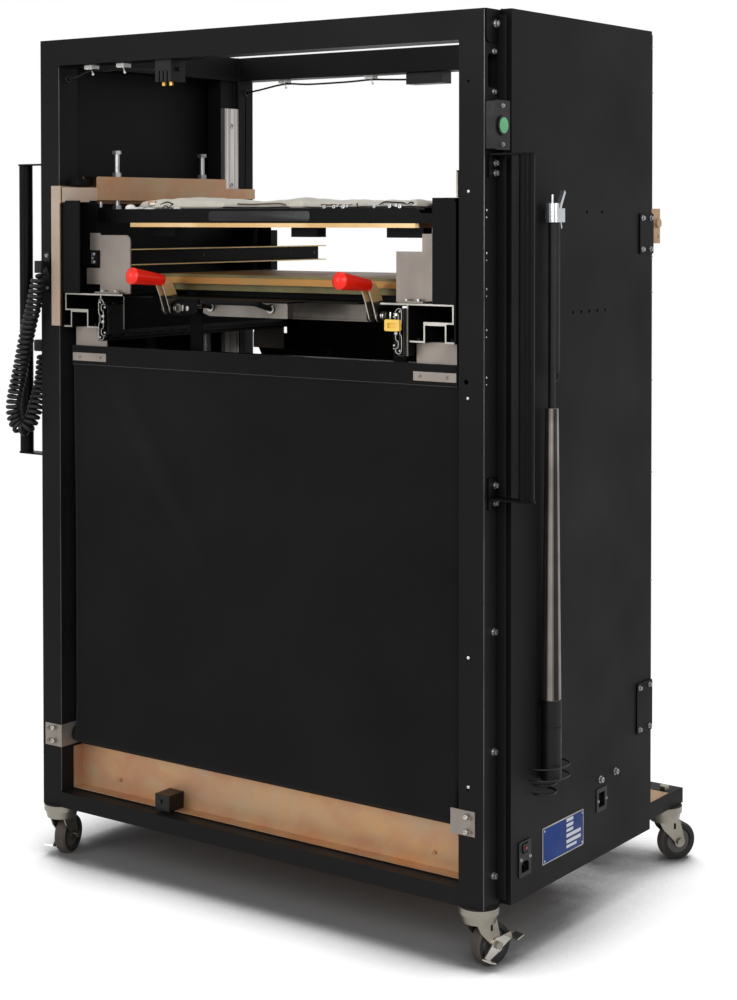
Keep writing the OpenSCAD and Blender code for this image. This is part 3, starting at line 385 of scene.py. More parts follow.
def sheet_metal(name, colours, rough, brush=(1, 1, 60), scale=30, metallic=0.9):
    """Plated or brushed sheet: cloudy tones under fine drawn lines."""
    base, *tones = colours.split()
    look = Look(name, base, metallic)
    for k, tone in enumerate(tones):
        look.tint(look.noise(4 + 5 * k, 4, distortion=0.6), tone, 0.42, 0.66, 0.8)
    lines = look.noise(scale, 3, brush)
    look.tint(lines, tones[-1], 0.5, 0.8, 0.35)
    look.rough(look.noise(9, 4), *rough)
    look.bump(lines, 0.00015, 0.4)
    return look.material


def rail_metal(name):
    """Extruded rail with long painted highlight stripes and painted dark brown shade in its grooves."""
    look = Look(name, "#9c9896", 0.7)
    # Painted highlight: long light stripes down the rail
    look.tint(look.noise(130, 2, (0.01, 1, 0.01)), "#c9c5c1", 0.52, 0.6, 0.9)
    # Painted shade: long dark brown stripes in the rail's grooves
    look.tint(look.noise(95, 1, (0.01, 1, 0.012)), "#5d5048", 0.56, 0.64, 0.9)
    lines = look.noise(900, 2, (1, 1, 0.03))
    look.tint(lines, "#77736f", 0.5, 0.8, 0.4)
    look.rough(look.noise(9, 4), 0.3, 0.45)
    look.bump(lines, 0.00015, 0.4)
    return look.material


def plastic(name, base, light, rough, specular=0.5, grain=900, depth=0.0001, coat=0.0):
    """Moulded plastic or rubber with a fine grain."""
    look = Look(name, base, Specular_IOR_Level=specular, Coat_Weight=coat)
    look.tint(look.noise(14, 3), light, 0.4, 0.7, 0.6)
    look.rough(look.noise(22, 3), *rough)
    look.bump(look.noise(grain, 2), depth, 0.5)
    return look.material


def woven(name, base, light, thread, sheen, specular):
    """Cloth with soft stains and two directions of thread."""
    look = Look(name, base, Sheen_Weight=sheen, Specular_IOR_Level=specular)
    look.tint(look.noise(2.2, 5), light, 0.38, 0.72, 0.6)
    look.tint(look.noise(120, 3), light, 0.55, 0.8, 0.4)
    look.rough(look.noise(5, 3), 0.6, 0.8)
    look.bump(look.wave(thread, "X"), 0.00012, 0.35)
    look.bump(look.wave(thread, "Z"), 0.00012, 0.35)
    return look.material


# How each kind of finish is made, and its values by the names that the record and the pieces use
RECIPES = {
    powder_coat: {  # base, light tone, roughness, specular level
        "black_frame": ("#101010", "#1a1919", (0.42, 0.6), 0.07),
        "black_parts": ("#060606", "#0d0d0d", (0.34, 0.5), 0.06),
    },
    sheet_metal: {  # base and tones, roughness, then the lines' stretch and scale, and metallic
        "yellow_zinc": ("#a98c6c #b98b5c #a58f76 #a8795a", (0.4, 0.56), (1, 1, 60), 30, 0.6),
        "platen_gold": ("#8c6230 #a87638 #84693a", (0.34, 0.5), (1, 1, 60), 30, 0.6),
        "steel": ("#8d8b88 #a3a09c #75726e", (0.26, 0.42), (1, 40, 1)),
        "fork_zinc": ("#7f7a70 #a39c8f #5d5953 #8f8a80", (0.2, 0.34), (1, 1, 12), 40, 0.92),
        "bright_zinc": ("#b5b1ab #d0ccc5 #86827c", (0.16, 0.28), (1, 1, 8), 60, 0.9),
        # Painted highlight strips on the wand
        "wand_painted_highlight": ("#8a817c #a39a95 #6e6762", (0.25, 0.4), (1, 1, 0.03), 900, 0.6),
        "aluminium": ("#b9bcc0 #cacdd0 #a2a6aa", (0.3, 0.45), (1, 1, 0.05), 900),
        "grey_plate": ("#827a73 #948b83 #716a63", (0.36, 0.5), (1, 1, 0.04), 900, 0.6),
        "chrome": ("#c9cccf #dde0e2 #a9adb1", (0.12, 0.24)),
        "screw_zinc": ("#a9abae #c2c3c4 #8c8e91", (0.25, 0.4)),
        "pinkish_zinc": ("#857c74 #968c83 #756d66", (0.42, 0.56), (1, 1, 0.04), 700, 0.45),
        "cut_edge": ("#a5a29b #c4c1b8 #7f7c76", (0.34, 0.5), (40, 1, 40), 60, 0.6),
        "gold_edge": ("#cba672 #dbbd8c #bd975e", (0.35, 0.5), (60, 1, 1), 30, 0.35),
        "channel_gold": ("#c2ae72 #d8c38a #b3a060 #c99f7a", (0.3, 0.45), (60, 1, 1), 40, 0.5),
        "olive_edge": ("#554e2d #6d6540 #433e24", (0.35, 0.5), (60, 1, 1), 30, 0.5),
        "stainless_dark": ("#544f49 #6a655f #3b3834", (0.3, 0.45), (1, 1, 0.03), 700, 0.8),
        "dull_zinc": ("#a1938a #ae9f92 #978877 #a58c78", (0.42, 0.56), (40, 1, 1), 60, 0.5),
        # A painted highlight for the posts' rounded front corners
        "worn_edge": ("#55534f #66635f #43413e", (0.25, 0.4), (1, 1, 0.1), 300, 0.8),
        "dark_steel": ("#232221 #34322f #171616", (0.3, 0.45), (1, 0.04, 1), 700, 0.7),
        "lever_steel": ("#6f6550 #8d7f5c #4e483c", (0.28, 0.42), (1, 20, 1), 60, 0.8),
        "brass": ("#b98d3f #d2a957 #93702f", (0.22, 0.36)),
        "nickel": ("#655f5a #7b7570 #544f49", (0.3, 0.5), (1, 1, 0.03), 900),
    },
    plastic: {  # base, light tone, roughness, specular level, grain and its depth, coat
        "tread": ("#3b332d", "#5a4f46", (0.5, 0.65), 0.25, 300, 0.0003),
        "blank_field": ("#b9bcc0", "#c9ccd0", (0.4, 0.6)),
        "black_plastic": ("#0a0a0a", "#121212", (0.34, 0.5), 0.2),
        "green_lens": ("#2f8a52", "#4aa86c", (0.18, 0.3), 0.5, 900, 0.0001, 0.4),
        "red_plastic": ("#e0190c", "#ee2c16", (0.28, 0.36), 0.35, 260, 0.0004),
        "yellow_plastic": ("#d9ad35", "#e6c260", (0.35, 0.5)),
        "white_plastic": ("#d8d8d3", "#eceae4", (0.35, 0.5)),
        "hub": ("#33312f", "#403d3a", (0.4, 0.55)),
        "bare_label": ("#0d0d0f", "#17181a", (0.2, 0.3), 0.25),
        "blue_label": ("#0b2a66", "#133878", (0.3, 0.45), 0.12),
        "brown_lead": ("#4a2d1c", "#5f3d27", (0.4, 0.55)),
        "cord_rubber": ("#0d0d0d", "#191919", (0.4, 0.55), 0.25),
        "tyre_rubber": ("#121110", "#1b1918", (0.45, 0.62), 0.25, 500, 0.0002),
    },
    woven: {  # base, light tone, thread, sheen, specular level
        "thread": ("#3d3d40", "#555555", 2000, 0.12, 0.2),
        "curtain_cloth": ("#0c0c0d", "#141414", 900, 0.04, 0.06),
        "blanket": ("#bdb8a9", "#dedad0", 500, 0.3, 0.2),
    },
    rail_metal: {"rail_metal": ()},
}

# Width of the soft edge on sheets and tubes
EDGES = {
    "rear_frame": 0.002, "base_frame": 0.0015, "right_side_panel": 0.0009, "left_side_panel": 0.0009,
    "corner_plates": 0.0006, "side_brackets": 0.0005, "carriage_sides": 0.0005,
}
HUB_REACH = 0.026
TREAD_DEPTH = 0.0035


def everywhere(x, y, z, n):
    return True


def zinc_lever(x, y, z, n):
    """The plates of a toggle lever, and not its grip."""
    return y > 50.2 or z < SHELF_Z * MM_PER_M + 18


def finishes():
    """Faces of CAD nodes that have another finish: node, material and a test for paint_where."""
    shelf = SHELF_Z * MM_PER_M

    def bearing(x, y, z, n):
        """The black faces round the slide screws in the low brackets."""
        return 21.9 < y < 25.1 and n.z**2 + n.y**2 > 0.5 and abs(x) < 364

    def tie_base(x, y, z, n):
        front = y < 52 and (abs(x + 420) < 11 or abs(x + 335) < 11)
        rear = y > 560 and (abs(x + 360) < 11 or abs(x + 128) < 11)
        return z > 1460 and (front or rear)

    def arm_inside(x, y, z, n):
        edge = n.y < -0.9 and abs(x) < 466 and z > shelf + 228
        return z > shelf + 225 and abs(x) > 432 and y < 300 and (n.z < -0.5 or edge)

    rows = [
        ("wiring_blocks", "white_plastic", tie_base),
        ("wiring_blocks", "brass", lambda x, y, z, n: 1400 < z < 1431.0),
        ("upper_platen", "gold_edge", lambda x, y, z, n: n.y < -0.6),
        ("upper_platen", "yellow_zinc", lambda x, y, z, n: n.y >= -0.6),
        ("side_brackets", "black_parts", lambda x, y, z, n: (
            abs(x) < 456 and z < shelf - 60 and (bearing(x, y, z, n) or y > 586.5))),
        ("side_brackets", "pinkish_zinc", lambda x, y, z, n: (
            35 < y < 40 and z > shelf + 2 and n.y**2 > 0.5)),
        ("side_brackets", "screw_zinc", lambda x, y, z, n: 20 < y < 35.5 and z > shelf + 6.3),
        ("side_brackets", "pinkish_zinc", lambda x, y, z, n: (
            abs(x) < 456 and z < shelf + 2 and y < 60 and not bearing(x, y, z, n))),
        ("side_channels", "channel_gold", everywhere),
        ("side_channels", "black_parts", lambda x, y, z, n: (
            abs(n.x) > 0.9 and shelf + 60.5 < z < shelf + 87.5)),
        ("shelf_channels", "cut_edge", lambda x, y, z, n: n.y < -0.9 and y < 3.6),
        # Bright faces of the drawer body: the front faces are its bare cut edges, and the bottom faces a
        # painted highlight along its lower edge
        ("drawer_body", "cut_edge", lambda x, y, z, n: (
            (n.z < -0.9 and z < shelf - 66) or (n.y < -0.9 and y < 43.5 and z < shelf - 8))),
        ("drawer_front", "stainless_dark", lambda x, y, z, n: y > 60),
        ("drawer_front", "nickel", lambda x, y, z, n: y <= 60),
        ("lower_platen", "olive_edge", lambda x, y, z, n: (
            y < 91.9 or shelf + 10.5 < z < shelf + 24.2)),
        ("lower_platen", "black_parts", lambda x, y, z, n: z < shelf + 11),
        ("wand", "black_plastic", lambda x, y, z, n: 844 < z < 1164),
        ("wand", "chrome", lambda x, y, z, n: z > 1164),
        ("carriage_sides", "cut_edge", lambda x, y, z, n: (
            x > 0 and n.y < -0.9 and z < shelf + 231)),
        ("carriage_sides", "dull_zinc", lambda x, y, z, n: x < -470 and n.y < -0.5),
        ("carriage_sides", "black_parts", arm_inside),
        ("power_switch", "black_plastic", everywhere),
        ("lift_rails", "rail_metal", everywhere),
    ]
    rows += [(slide + "_slides", "dark_steel", everywhere) for slide in ("outer", "middle", "inner")]
    for lever in ("toggle_lever_r", "toggle_lever_l"):
        rows += [
            (lever, "yellow_zinc", zinc_lever),
            (lever, "lever_steel", lambda x, y, z, n: zinc_lever(x, y, z, n) and abs(n.x) > 0.7),
            # Partly painted light: the plates' sides above the shelf get a lighter gold in the plates'
            # own tone, to look lit where they fall in shade
            (lever, "gold_edge", lambda x, y, z, n: (
                zinc_lever(x, y, z, n) and abs(n.x) > 0.7 and z > shelf + 6)),
            (lever, "cut_edge", lambda x, y, z, n: zinc_lever(x, y, z, n) and abs(n.x) <= 0.7),
        ]
    return rows


def repaint(node, material):
    """Gives a CAD node one material in place of its own."""
    data = NODES[node].data
    data.materials.clear()
    data.materials.append(MATERIALS[material])


def paint_wheel(node):
    """Gives a wheel its hub and its worn tread, by each face's distance from the axle."""
    data = NODES[node].data
    low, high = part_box(node)
    middle = (low + high) / 2
    data.materials.append(MATERIALS["hub"])
    data.materials.append(MATERIALS["tread"])
    tread_reach = (high.z - low.z) / 2 - TREAD_DEPTH
    for polygon in data.polygons:
        reach = (polygon.center - middle).length
        if reach < HUB_REACH:
            polygon.material_index = 1
        elif reach > tread_reach:
            polygon.material_index = 2


def paint_details():
    for node, material, test in finishes():
        paint_where(node, material, test)
    repaint("castor_stems", "fork_zinc")
    for corner in ("fr", "fl", "rr", "rl"):
        repaint("castor_fork_" + corner, "fork_zinc")
        paint_wheel("castor_wheel_" + corner)
    for corner in ("fr", "fl"):
        repaint("brake_pedal_" + corner, "bright_zinc")


def make_materials():
    for recipe, rows in RECIPES.items():
        for name, values in rows.items():
            MATERIALS[name] = recipe(name, *values)


def paint_nodes():
    """Gives each CAD node the material of its slot in the record, and sheets and tubes soft edges."""
    for row in frame["record"]["subparts"]:
        repaint(row["node"], row["material_slot"])
    for node, width in EDGES.items():
        stack = NODES[node].modifiers
        having(stack.new("weld", "WELD"), merge_threshold=1e-5)
        having(
            stack.new("edges", "BEVEL"), width=width, segments=2, limit_method="ANGLE",
            angle_limit=math.radians(50), use_clamp_overlap=True, harden_normals=True)


# ---- Curly cord ----


LEAD = 0.012
PER_TURN = 14


def make_cord():
    """The curly cord: a coil round the source's route, with straight ends."""
    route = spline_points([at(*(c / MM_PER_M for c in p)) for p in CORD_ROUTE_MM], 12)
    lengths = [0.0]
    for a, b in zip(route, route[1:]):
        lengths.append(lengths[-1] + (b - a).length)
    total = lengths[-1]

    def along(s):
        """The route's place and direction at a length along it."""
        for i in range(1, len(route)):
            if s <= lengths[i] or i == len(route) - 1:
                t = min(max((s - lengths[i - 1]) / (lengths[i] - lengths[i - 1]), 0), 1)
                return route[i - 1].lerp(route[i], t), (route[i] - route[i - 1]).normalized()

    count = int(total / CORD_PITCH) * PER_TURN
    radius = CORD_R - CORD_D / 2 + 0.0012
    points = []
    side = None
    for k in range(count + 1):
        s = total * k / count
        centre, way = along(s)
        if side is None:
            side = way.cross(Vector((0, 1, 0))).normalized()
        side = (side - way * side.dot(way)).normalized()
        angle = 2 * math.pi * k / PER_TURN
        out = side * math.cos(angle) + way.cross(side) * math.sin(angle)
        points.append(centre + radius * min(1, s / LEAD, (total - s) / LEAD) * out)
    cord = curve_piece("curly_cord", points, CORD_D / 2, "frame", "cord_rubber")
    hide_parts("coil_cord")


# ---- Curtains ----

CURTAIN_HALF = 0.455
CURTAIN_EASE = 0.0072
CURTAIN_TOP = -0.103
HEM = -0.141
CLOTH = 0.0011
ROLLER_Z = 0.143
ROLLER_R = 0.0157
WRAP_R = ROLLER_R + 0.0008
WRAP_ANGLE = math.radians(110)


def ripple(x, y, z):
    """Smooth noise about zero."""
    return noise.noise(Vector((x, y, z)))


def soft_step(t):
    t = min(max(t, 0.0), 1.0)
    return t * t * (3 - 2 * t)


def cloth_relief(x, z, front):
    """How far the cloth stands out of its plane, in metres; z is below the top."""
    fade = soft_step(-z / 0.12) * soft_step((0.79 + z) / 0.2)
    out = 0.0022 * ripple(x * 3.1, z * 2.3, 4.0 + front)
    out += 0.0012 * ripple(x * 9.0, z * 1.2, 8.0 + front)
    if front:
        # A long fold from the left clamp down to the right
        along = (x + 0.365) * 0.55 - (z + 0.03) * 0.84
        across = (x + 0.365) * 0.84 + (z + 0.03) * 0.55
        ends = soft_step(along / 0.1) * soft_step((0.5 - along) / 0.25)
        out += 0.006 * math.exp(-((across - 0.02) / 0.035) ** 2) * ends
        # A seam below the hem
        out -= 0.0006 * math.exp(-((z + 0.183) / 0.0012) ** 2)
    return out * fade


def cloth_ease(x, z, height, front):
    """How far the cloth's side edges give way, in metres; z is below the top, height above the frame."""
    if not front:
        return 0.026 * soft_step((-x - 0.3) / 0.155) * soft_step(-z / 0.07)
    left = soft_step((-x - 0.43) / 0.025)
    right = soft_step((x - 0.38) / 0.075)
    ease = 0.0035 * left * soft_step(-z / 0.06) * soft_step((z + 0.78) / 0.1)
    ease += CURTAIN_EASE * right * soft_step(-z / 0.06) * soft_step((height - 0.18) / 0.05)
    return ease + 0.004 * left * soft_step(-z / 0.5)


def make_curtain(name, node, plane, side):
    """A roller curtain from the carriage down and round the front or the back of its roller."""
    front = side < 0
    columns, rows, wrap = 130, 110, 10
    top, foot = SHELF_Z + CURTAIN_TOP, ROLLER_Z
    verts = []
    for j in range(rows + wrap + 1):
        for i in range(columns + 1):
            x = -CURTAIN_HALF + 2 * CURTAIN_HALF * i / columns
            if j <= rows:
                z = top + (foot - top) * j / rows
                depth = z - top
                relief = abs(cloth_relief(x, depth, front)) if depth < -0.03 else 0.0
                verts.append(at(x + cloth_ease(x, depth, z, front), plane + side * relief, z))
            else:
                a = WRAP_ANGLE * (j - rows) / wrap
                y = plane - side * WRAP_R * (1 - math.cos(a))
                verts.append(at(x, y, foot - WRAP_R * math.sin(a)))
    cloth = mesh_piece(name, verts, grid_faces(columns, rows + wrap), None, "curtain_cloth")
    having(cloth.modifiers.new("thickness", "SOLIDIFY"), thickness=CLOTH, offset=0)
    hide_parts(node)
    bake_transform(cloth)


HEM_PLANE = 0.0198
STITCH_PITCH = 0.0056
# The hem's section: out of its plane, and up from the shelf
HEM_SECTION = (
    (0, HEM), (-0.0007, HEM + 0.0004), (-0.0009, -0.12), (-0.0012, CURTAIN_TOP - 0.004),
    (-0.0019, CURTAIN_TOP - 0.0015), (-0.0014, CURTAIN_TOP + 0.0016), (0.0004, CURTAIN_TOP + 0.0022),
    (0.0018, CURTAIN_TOP + 0.0008), (0.0016, CURTAIN_TOP - 0.0025), (0.0006, -0.11),
)


def make_curtain_hem():
    """The folded top hem of the front curtain, with its rolled edge."""
    work = bmesh.new()
    steps = 140
    rings = []
    for i in range(steps + 1):
        x = -CURTAIN_HALF + 2 * CURTAIN_HALF * i / steps
        lift = 0.0009 * ripple(x * 14, 2.0, 0)
        lift += 0.0006 * ripple(x * 40, 5.0, 0)
        rings.append([work.verts.new(carried(
            x, HEM_PLANE + dy, z + (lift if z > -0.115 else 0))) for dy, z in HEM_SECTION])
    for a, b in zip(rings, rings[1:]):
        for k in range(len(HEM_SECTION)):
            n = (k + 1) % len(HEM_SECTION)
            work.faces.new([a[k], a[n], b[n], b[k]])
    work.faces.new(rings[0])
    work.faces.new(rings[-1])
    finish("curtain_hem", work, "carriage", "curtain_cloth")


def make_stitches():
    """The row of stitches along the foot of the hem."""
    work = bmesh.new()
    for i in range(int(2 * CURTAIN_HALF / STITCH_PITCH)):
        x = -CURTAIN_HALF + 0.004 + STITCH_PITCH * i
        add_box(work, carried(x, HEM_PLANE - 0.0013, HEM + 0.0022),
            carried(x + 0.0036, HEM_PLANE - 0.0006, HEM + 0.0032), 0.0003)
    finish("curtain_stitches", work, "carriage", "thread")


# ---- Blanket ----


def bump_at(x, y, middle_x, middle_y, reach_x, reach_y):
    """A round swelling, 1 in its middle."""
    return math.exp(-(((x - middle_x) / reach_x) ** 2 + ((y - middle_y) / reach_y) ** 2))


def make_blanket():
    """The limp white insulation on the upper platen, with its soft edges and folds."""
    low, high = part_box("insulation_blanket")
    columns, rows = 120, 70
    inset, thick, rim_w = 0.004, 0.0165, 0.012
    x0, x1, y0, y1 = low.x + inset, high.x - inset, low.y + inset, high.y - inset

    def place(u, v, upper):
        x, y = x0 + (x1 - x0) * u, y0 + (y1 - y0) * v
        edge = min(min(u, 1 - u) * (x1 - x0), min(v, 1 - v) * (y1 - y0))
        puff = math.sqrt(max(0.0, 1 - (1 - min(1.0, edge / rim_w)) ** 2))
        wander = 0.004 * ripple(x * 12, y * 12, 9 if upper else 11)
        if upper:
            swell = 0.78 + 0.22 * ripple(x * 7, y * 9, 3)
            swell = thick * (swell + 0.2 * ripple(x * 22, y * 25, 1))
            hump = 0.009 * bump_at(x, y, -0.21, y0 + 0.06, 0.07, 0.09)
            hump += 0.007 * bump_at(x, y, 0.055, y0 + 0.05, 0.035, 0.05)
            fold = 0.0035 * abs(ripple(x * 16 + y * 9, y * 5, 7))
            z = low.z + (swell + hump + fold) * (0.25 + 0.75 * puff)
        else:
            z = low.z + 0.004 * (1 - puff)
        return Vector((x + wander * (u - 0.5), y + wander * (0.5 - abs(v - 0.5)), z))

    verts = [
        place(i / columns, j / rows, upper)
        for upper in (True, False) for j in range(rows + 1) for i in range(columns + 1)]
    across = columns + 1
    sheet = across * (rows + 1)
    faces = grid_faces(columns, rows) + grid_faces(columns, rows, sheet, flip=True)
    rim = list(range(across)) + [j * across + columns for j in range(1, rows + 1)]
    rim += [rows * across + i for i in range(columns - 1, -1, -1)]
    rim += [j * across for j in range(rows - 1, 0, -1)]
    for a, b in zip(rim, rim[1:] + rim[:1]):
        faces.append((a, sheet + a, sheet + b, b))
    pad = mesh_piece("insulation_pad", verts, faces, "carriage", "blanket")
    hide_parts("insulation_blanket")


# ---- Small things ----


def head_rim(r, h):
    return [(r * 0.98, 0), (r, h * 0.25), (r * 0.96, h * 0.7), (r * 0.8, h)]


def screw(work, place, axis, r, h, slot=0):
    """A round head with a round recess."""
    dish = [(r * 0.5, h), (r * 0.46, h * 0.35), (0, h * 0.35)]
    add_turned(work, head_rim(r, h) + dish, place, axis, 18, slot)


def rivet(work, place, axis, r, h, slot=0):
    """A round head with a low dome."""
    add_turned(work, head_rim(r, h) + [(r * 0.45, h * 1.12), (0, h * 1.16)], place, axis, 18, slot)


# The rating plate's and its blank fields' edges: y, y, z, z
RATING_PLATE = (0.16, 0.305, 0.039, 0.104)
BLANK_FIELDS = (
    (0.243, 0.267, 0.0945, 0.1005), (0.243, 0.267, 0.0852, 0.0912),
    (0.243, 0.267, 0.0766, 0.0818), (0.243, 0.294, 0.0668, 0.073),
    (0.243, 0.294, 0.0562, 0.0624), (0.243, 0.279, 0.0476, 0.0527),
)


def make_rating_plate():
    """The bare rating plate on the right panel, with its rim, rivets and blank fields."""
    work = bmesh.new()
    x, (y0, y1, z0, z1) = PANEL_X, RATING_PLATE
    rim, inset = 0.0022, 0.006
    plate = rounded(y0, y1, z0, z1, 0.002)
    field = rounded(y0 + rim, y1 - rim, z0 + rim, z1 - rim, 0.001)
    add_prism(work, plate, at(x + 0.0001, 0, 0), BACK, UP, (0.0009, 0, 0), 0.0002)
    add_prism(work, field, at(x + 0.0009, 0, 0), BACK, UP, (0.0004, 0, 0), 0.0001, 1)
    for y in (y0 + inset, y1 - inset):
        for z in (z0 + inset, z1 - inset):
            rivet(work, at(x + 0.0012, y, z), RIGHT, 0.0022, 0.0009, 2)
    for y0, y1, z0, z1 in BLANK_FIELDS:
        add_box(work, at(x + 0.0012, y0, z0), at(x + 0.00145, y1, z1), 0.0001, 3)
    tones = ["cut_edge", "blue_label", "screw_zinc", "blank_field"]
    finish("rating_plate", work, "frame", tones)


def make_bare_plates():
    work = bmesh.new()
    low = rounded(-0.293, -0.238, -0.155, -0.129, 0.002)
    high = rounded(-0.139, 0.103, 0.1445, 0.1635, 0.006)
    add_prism(work, low, carried(0, 0.5862, 0), RIGHT, UP, (0, 0.0006, 0), 0.0002)
    add_prism(work, high, carried(0, 0.0642, 0), RIGHT, UP, (0, 0.0009, 0), 0.0004)
    finish("bare_plates", work, "carriage", "bare_label")


def make_ties():
    """Cut ends of the cable ties, and the feet of their bases."""
    work = bmesh.new()
    ball = [(0, -0.0028), (0.002, -0.002), (0.0028, 0), (0.002, 0.002), (0, 0.0028)]
    for x, y in ((-0.42, 0.04), (-0.335, 0.04), (-0.36, 0.579), (-0.128, 0.579)):
        start, end = at(x, y, 1.466), at(x + 0.006, y - 0.002, 1.456)
        add_turned(work, [(0.0012, 0), (0.0012, (end - start).length)], start, end - start, 8)
        add_turned(work, ball, end, UP, 12)
        for foot in (y - 0.007, y + 0.007):
            low, high = at(x - 0.0075, foot - 0.002, 1.4652), at(x + 0.0075, foot + 0.002, 1.4665)
            add_box(work, low, high, 0.0003)
    finish("cable_ties", work, "frame", "white_plastic")


def make_grommets():
    work = bmesh.new()
    ring = [(0.0045, 0.0003), (0.0072, 0.0003), (0.0078, 0.0014), (0.0066, 0.0024), (0.0045, 0.002),
        (0.0045, 0.0003)]
    for y, z in ((0.025, 1.4482), (0.582, 1.4492)):
        add_turned(work, ring, at(-0.4702, y, z), RIGHT)
    finish("wire_grommets", work, "frame", "cord_rubber")


BEAD_PITCH = 0.0024
BEAD_SEED = 1
WELDS = (
    ((-0.4695, 0.554, 1.475), (-0.4695, 0.554, 1.523)),
    ((0.4695, 0.554, 1.475), (0.4695, 0.554, 1.523)),
    ((-0.4692, 0.052, 1.4725), (-0.4692, 0.052, 1.519)),
    ((-0.4688, 0.004, 1.4722), (-0.4688, 0.049, 1.4722)),
    ((0.4688, 0.004, 1.4722), (0.4688, 0.049, 1.4722)),
)


def make_weld_beads():
    """Rows of weld ripples in the corners of the frame, the same in each run."""
    noise.seed_set(BEAD_SEED)
    work = bmesh.new()
    for start, end in WELDS:
        a, b = at(*start), at(*end)
        count = int((b - a).length / BEAD_PITCH)
        for k in range(count + 1):
            wander = Vector(noise.noise_vector(Vector((k * 1.7, a.x * 9, a.y * 9))))
            spot = Matrix.Translation(a.lerp(b, k / count) + 0.0004 * wander)
            size = 0.0021 + 0.0005 * ripple(k * 2.3, a.x, a.z)
            part = bmesh.new()
            bmesh.ops.create_icosphere(part, subdivisions=1, radius=size, matrix=spot)
            take(work, part)
    finish("weld_beads", work, "frame", "black_frame")


# ---- Trim on the front edge of the upper platen ----

TRIM_Y = 0.08
TRIM_Z = 0.1681
# Thin leads: radius, material, and points by their x, y from the trim's row, and z from the shelf
LEADS = {
    "lead_arc": (0.0013, "cord_rubber", (
        (-0.281, 0, TRIM_Z + 0.003), (-0.272, 0, 0.1775), (-0.257, 0, 0.1815), (-0.242, 0, 0.1775),
        (-0.231, 0, 0.1752), (-0.214, 0, 0.1757))),
    "lead_low": (0.0011, "cord_rubber", (
        (-0.268, -0.002, TRIM_Z + 0.002), (-0.26, -0.003, 0.1745), (-0.25, -0.003, 0.1715),
        (-0.243, -0.002, 0.1765), (-0.236, 0, 0.1705))),
    "lead_brown_a": (0.0013, "brown_lead", (
        (-0.08, 0, 0.1772), (-0.045, -0.002, 0.1762), (-0.02, 0, 0.1768), (0.008, -0.002, 0.1775),
        (0.03, -0.002, 0.1768), (0.041, 0, 0.1712))),
    "lead_brown_b": (0.0012, "brown_lead", (
        (0.118, 0, 0.1752), (0.135, -0.003, 0.1742), (0.15, -0.002, 0.1748), (0.168, 0, 0.1738),
        (0.19, 0, 0.1745))),
    "lead_right": (0.0013, "cord_rubber", (
        (0.249, 0, 0.1745), (0.262, -0.002, 0.1792), (0.28, -0.002, 0.1785), (0.3, 0, 0.1775),
        (0.309, 0, 0.1742), (0.318, 0, 0.1788), (0.328, 0, 0.1715))),
    "lead_post": (0.0014, "cord_rubber", (
        (0.201, -0.001, TRIM_Z), (0.2015, -0.002, 0.172), (0.2, -0.001, 0.1768))),
}
TERMINALS = (
    (0.15, 0.1705, 0.0042), (0.158, 0.1725, 0.0032), (0.171, 0.1702, 0.0046), (0.18, 0.1716, 0.003),
    (0.24, 0.171, 0.0038), (0.274, 0.1712, 0.0042), (0.288, 0.1725, 0.0034), (0.296, 0.1705, 0.0044),
    (0.128, 0.17, 0.004),
)


def trim_box(work, x0, x1, y0, y1, z0, z1, width):
    add_box(work, carried(x0, TRIM_Y + y0, z0), carried(x1, TRIM_Y + y1, z1), width)


def make_ceramic_caps():
    """A white ceramic foot, its washers and two white blocks."""
    work = bmesh.new()
    caps = (
        (-0.354, [(0.0105, 0), (0.0105, 0.002), (0.0095, 0.0055), (0.006, 0.0085), (0, 0.0095)]),
        (-0.331, [(0.016, 0), (0.017, 0.0012), (0.012, 0.003), (0, 0.0042)]),
        (-0.302, [(0.012, 0), (0.012, 0.0012), (0.008, 0.0026), (0, 0.0036)]),
    )
    for x, profile in caps:
        add_turned(work, profile, carried(x, TRIM_Y, TRIM_Z), UP, 24)
    trim_box(work, -0.3, -0.286, -0.004, 0.006, 0.1762, 0.1802, 0.0015)
    trim_box(work, -0.238, -0.224, -0.004, 0.006, TRIM_Z, TRIM_Z + 0.003, 0.0012)
    finish("ceramic_caps", work, "carriage", "white_plastic")


def make_terminal_blocks():
    work = bmesh.new()
    trim_box(work, -0.32, -0.283, 0.004, 0.016, TRIM_Z, 0.176, 0.0008)
    trim_box(work, -0.306, -0.288, -0.002, 0.01, 0.176, 0.1835, 0.0008)
    trim_box(work, -0.232, -0.216, 0, 0.01, TRIM_Z + 0.003, 0.1755, 0.0008)
    finish("terminal_blocks", work, "carriage", "yellow_zinc")


def make_braided_leads():
    """A beaded lead between the blocks, and its two screws."""
    work = bmesh.new()
    bead = [(0.0028, 0), (0.0038, 0.001), (0.0038, 0.0026), (0.0028, 0.0036)]
    for k in range(9):
        place = carried(-0.272 + 0.0042 * k, TRIM_Y + 0.002, TRIM_Z + 0.0042 + 0.0016 * math.sin(k))
        add_turned(work, bead, place, (1, 0.2, 0.1 * (-1) ** k), 12)
    for x in (-0.255, -0.246):
        screw(work, carried(x, TRIM_Y, TRIM_Z + 0.006), (0, -1, 0.3), 0.0035, 0.003)
    finish("braided_leads", work, "carriage", "cut_edge")


def make_leads():
    """The thin leads and the screws they end on."""
    for name, (radius, material, places) in LEADS.items():
        points = [carried(x, TRIM_Y + y, z) for x, y, z in places]
        wire(name, points, radius, "carriage", material)
    work = bmesh.new()
    for x, z, r in TERMINALS:
        screw(work, carried(x, TRIM_Y - 0.002, z), (0, -1, 0.2), r, 0.003)
    finish("lead_terminals", work, "carriage", "screw_zinc")


# ---- Latch, slides and wand ----


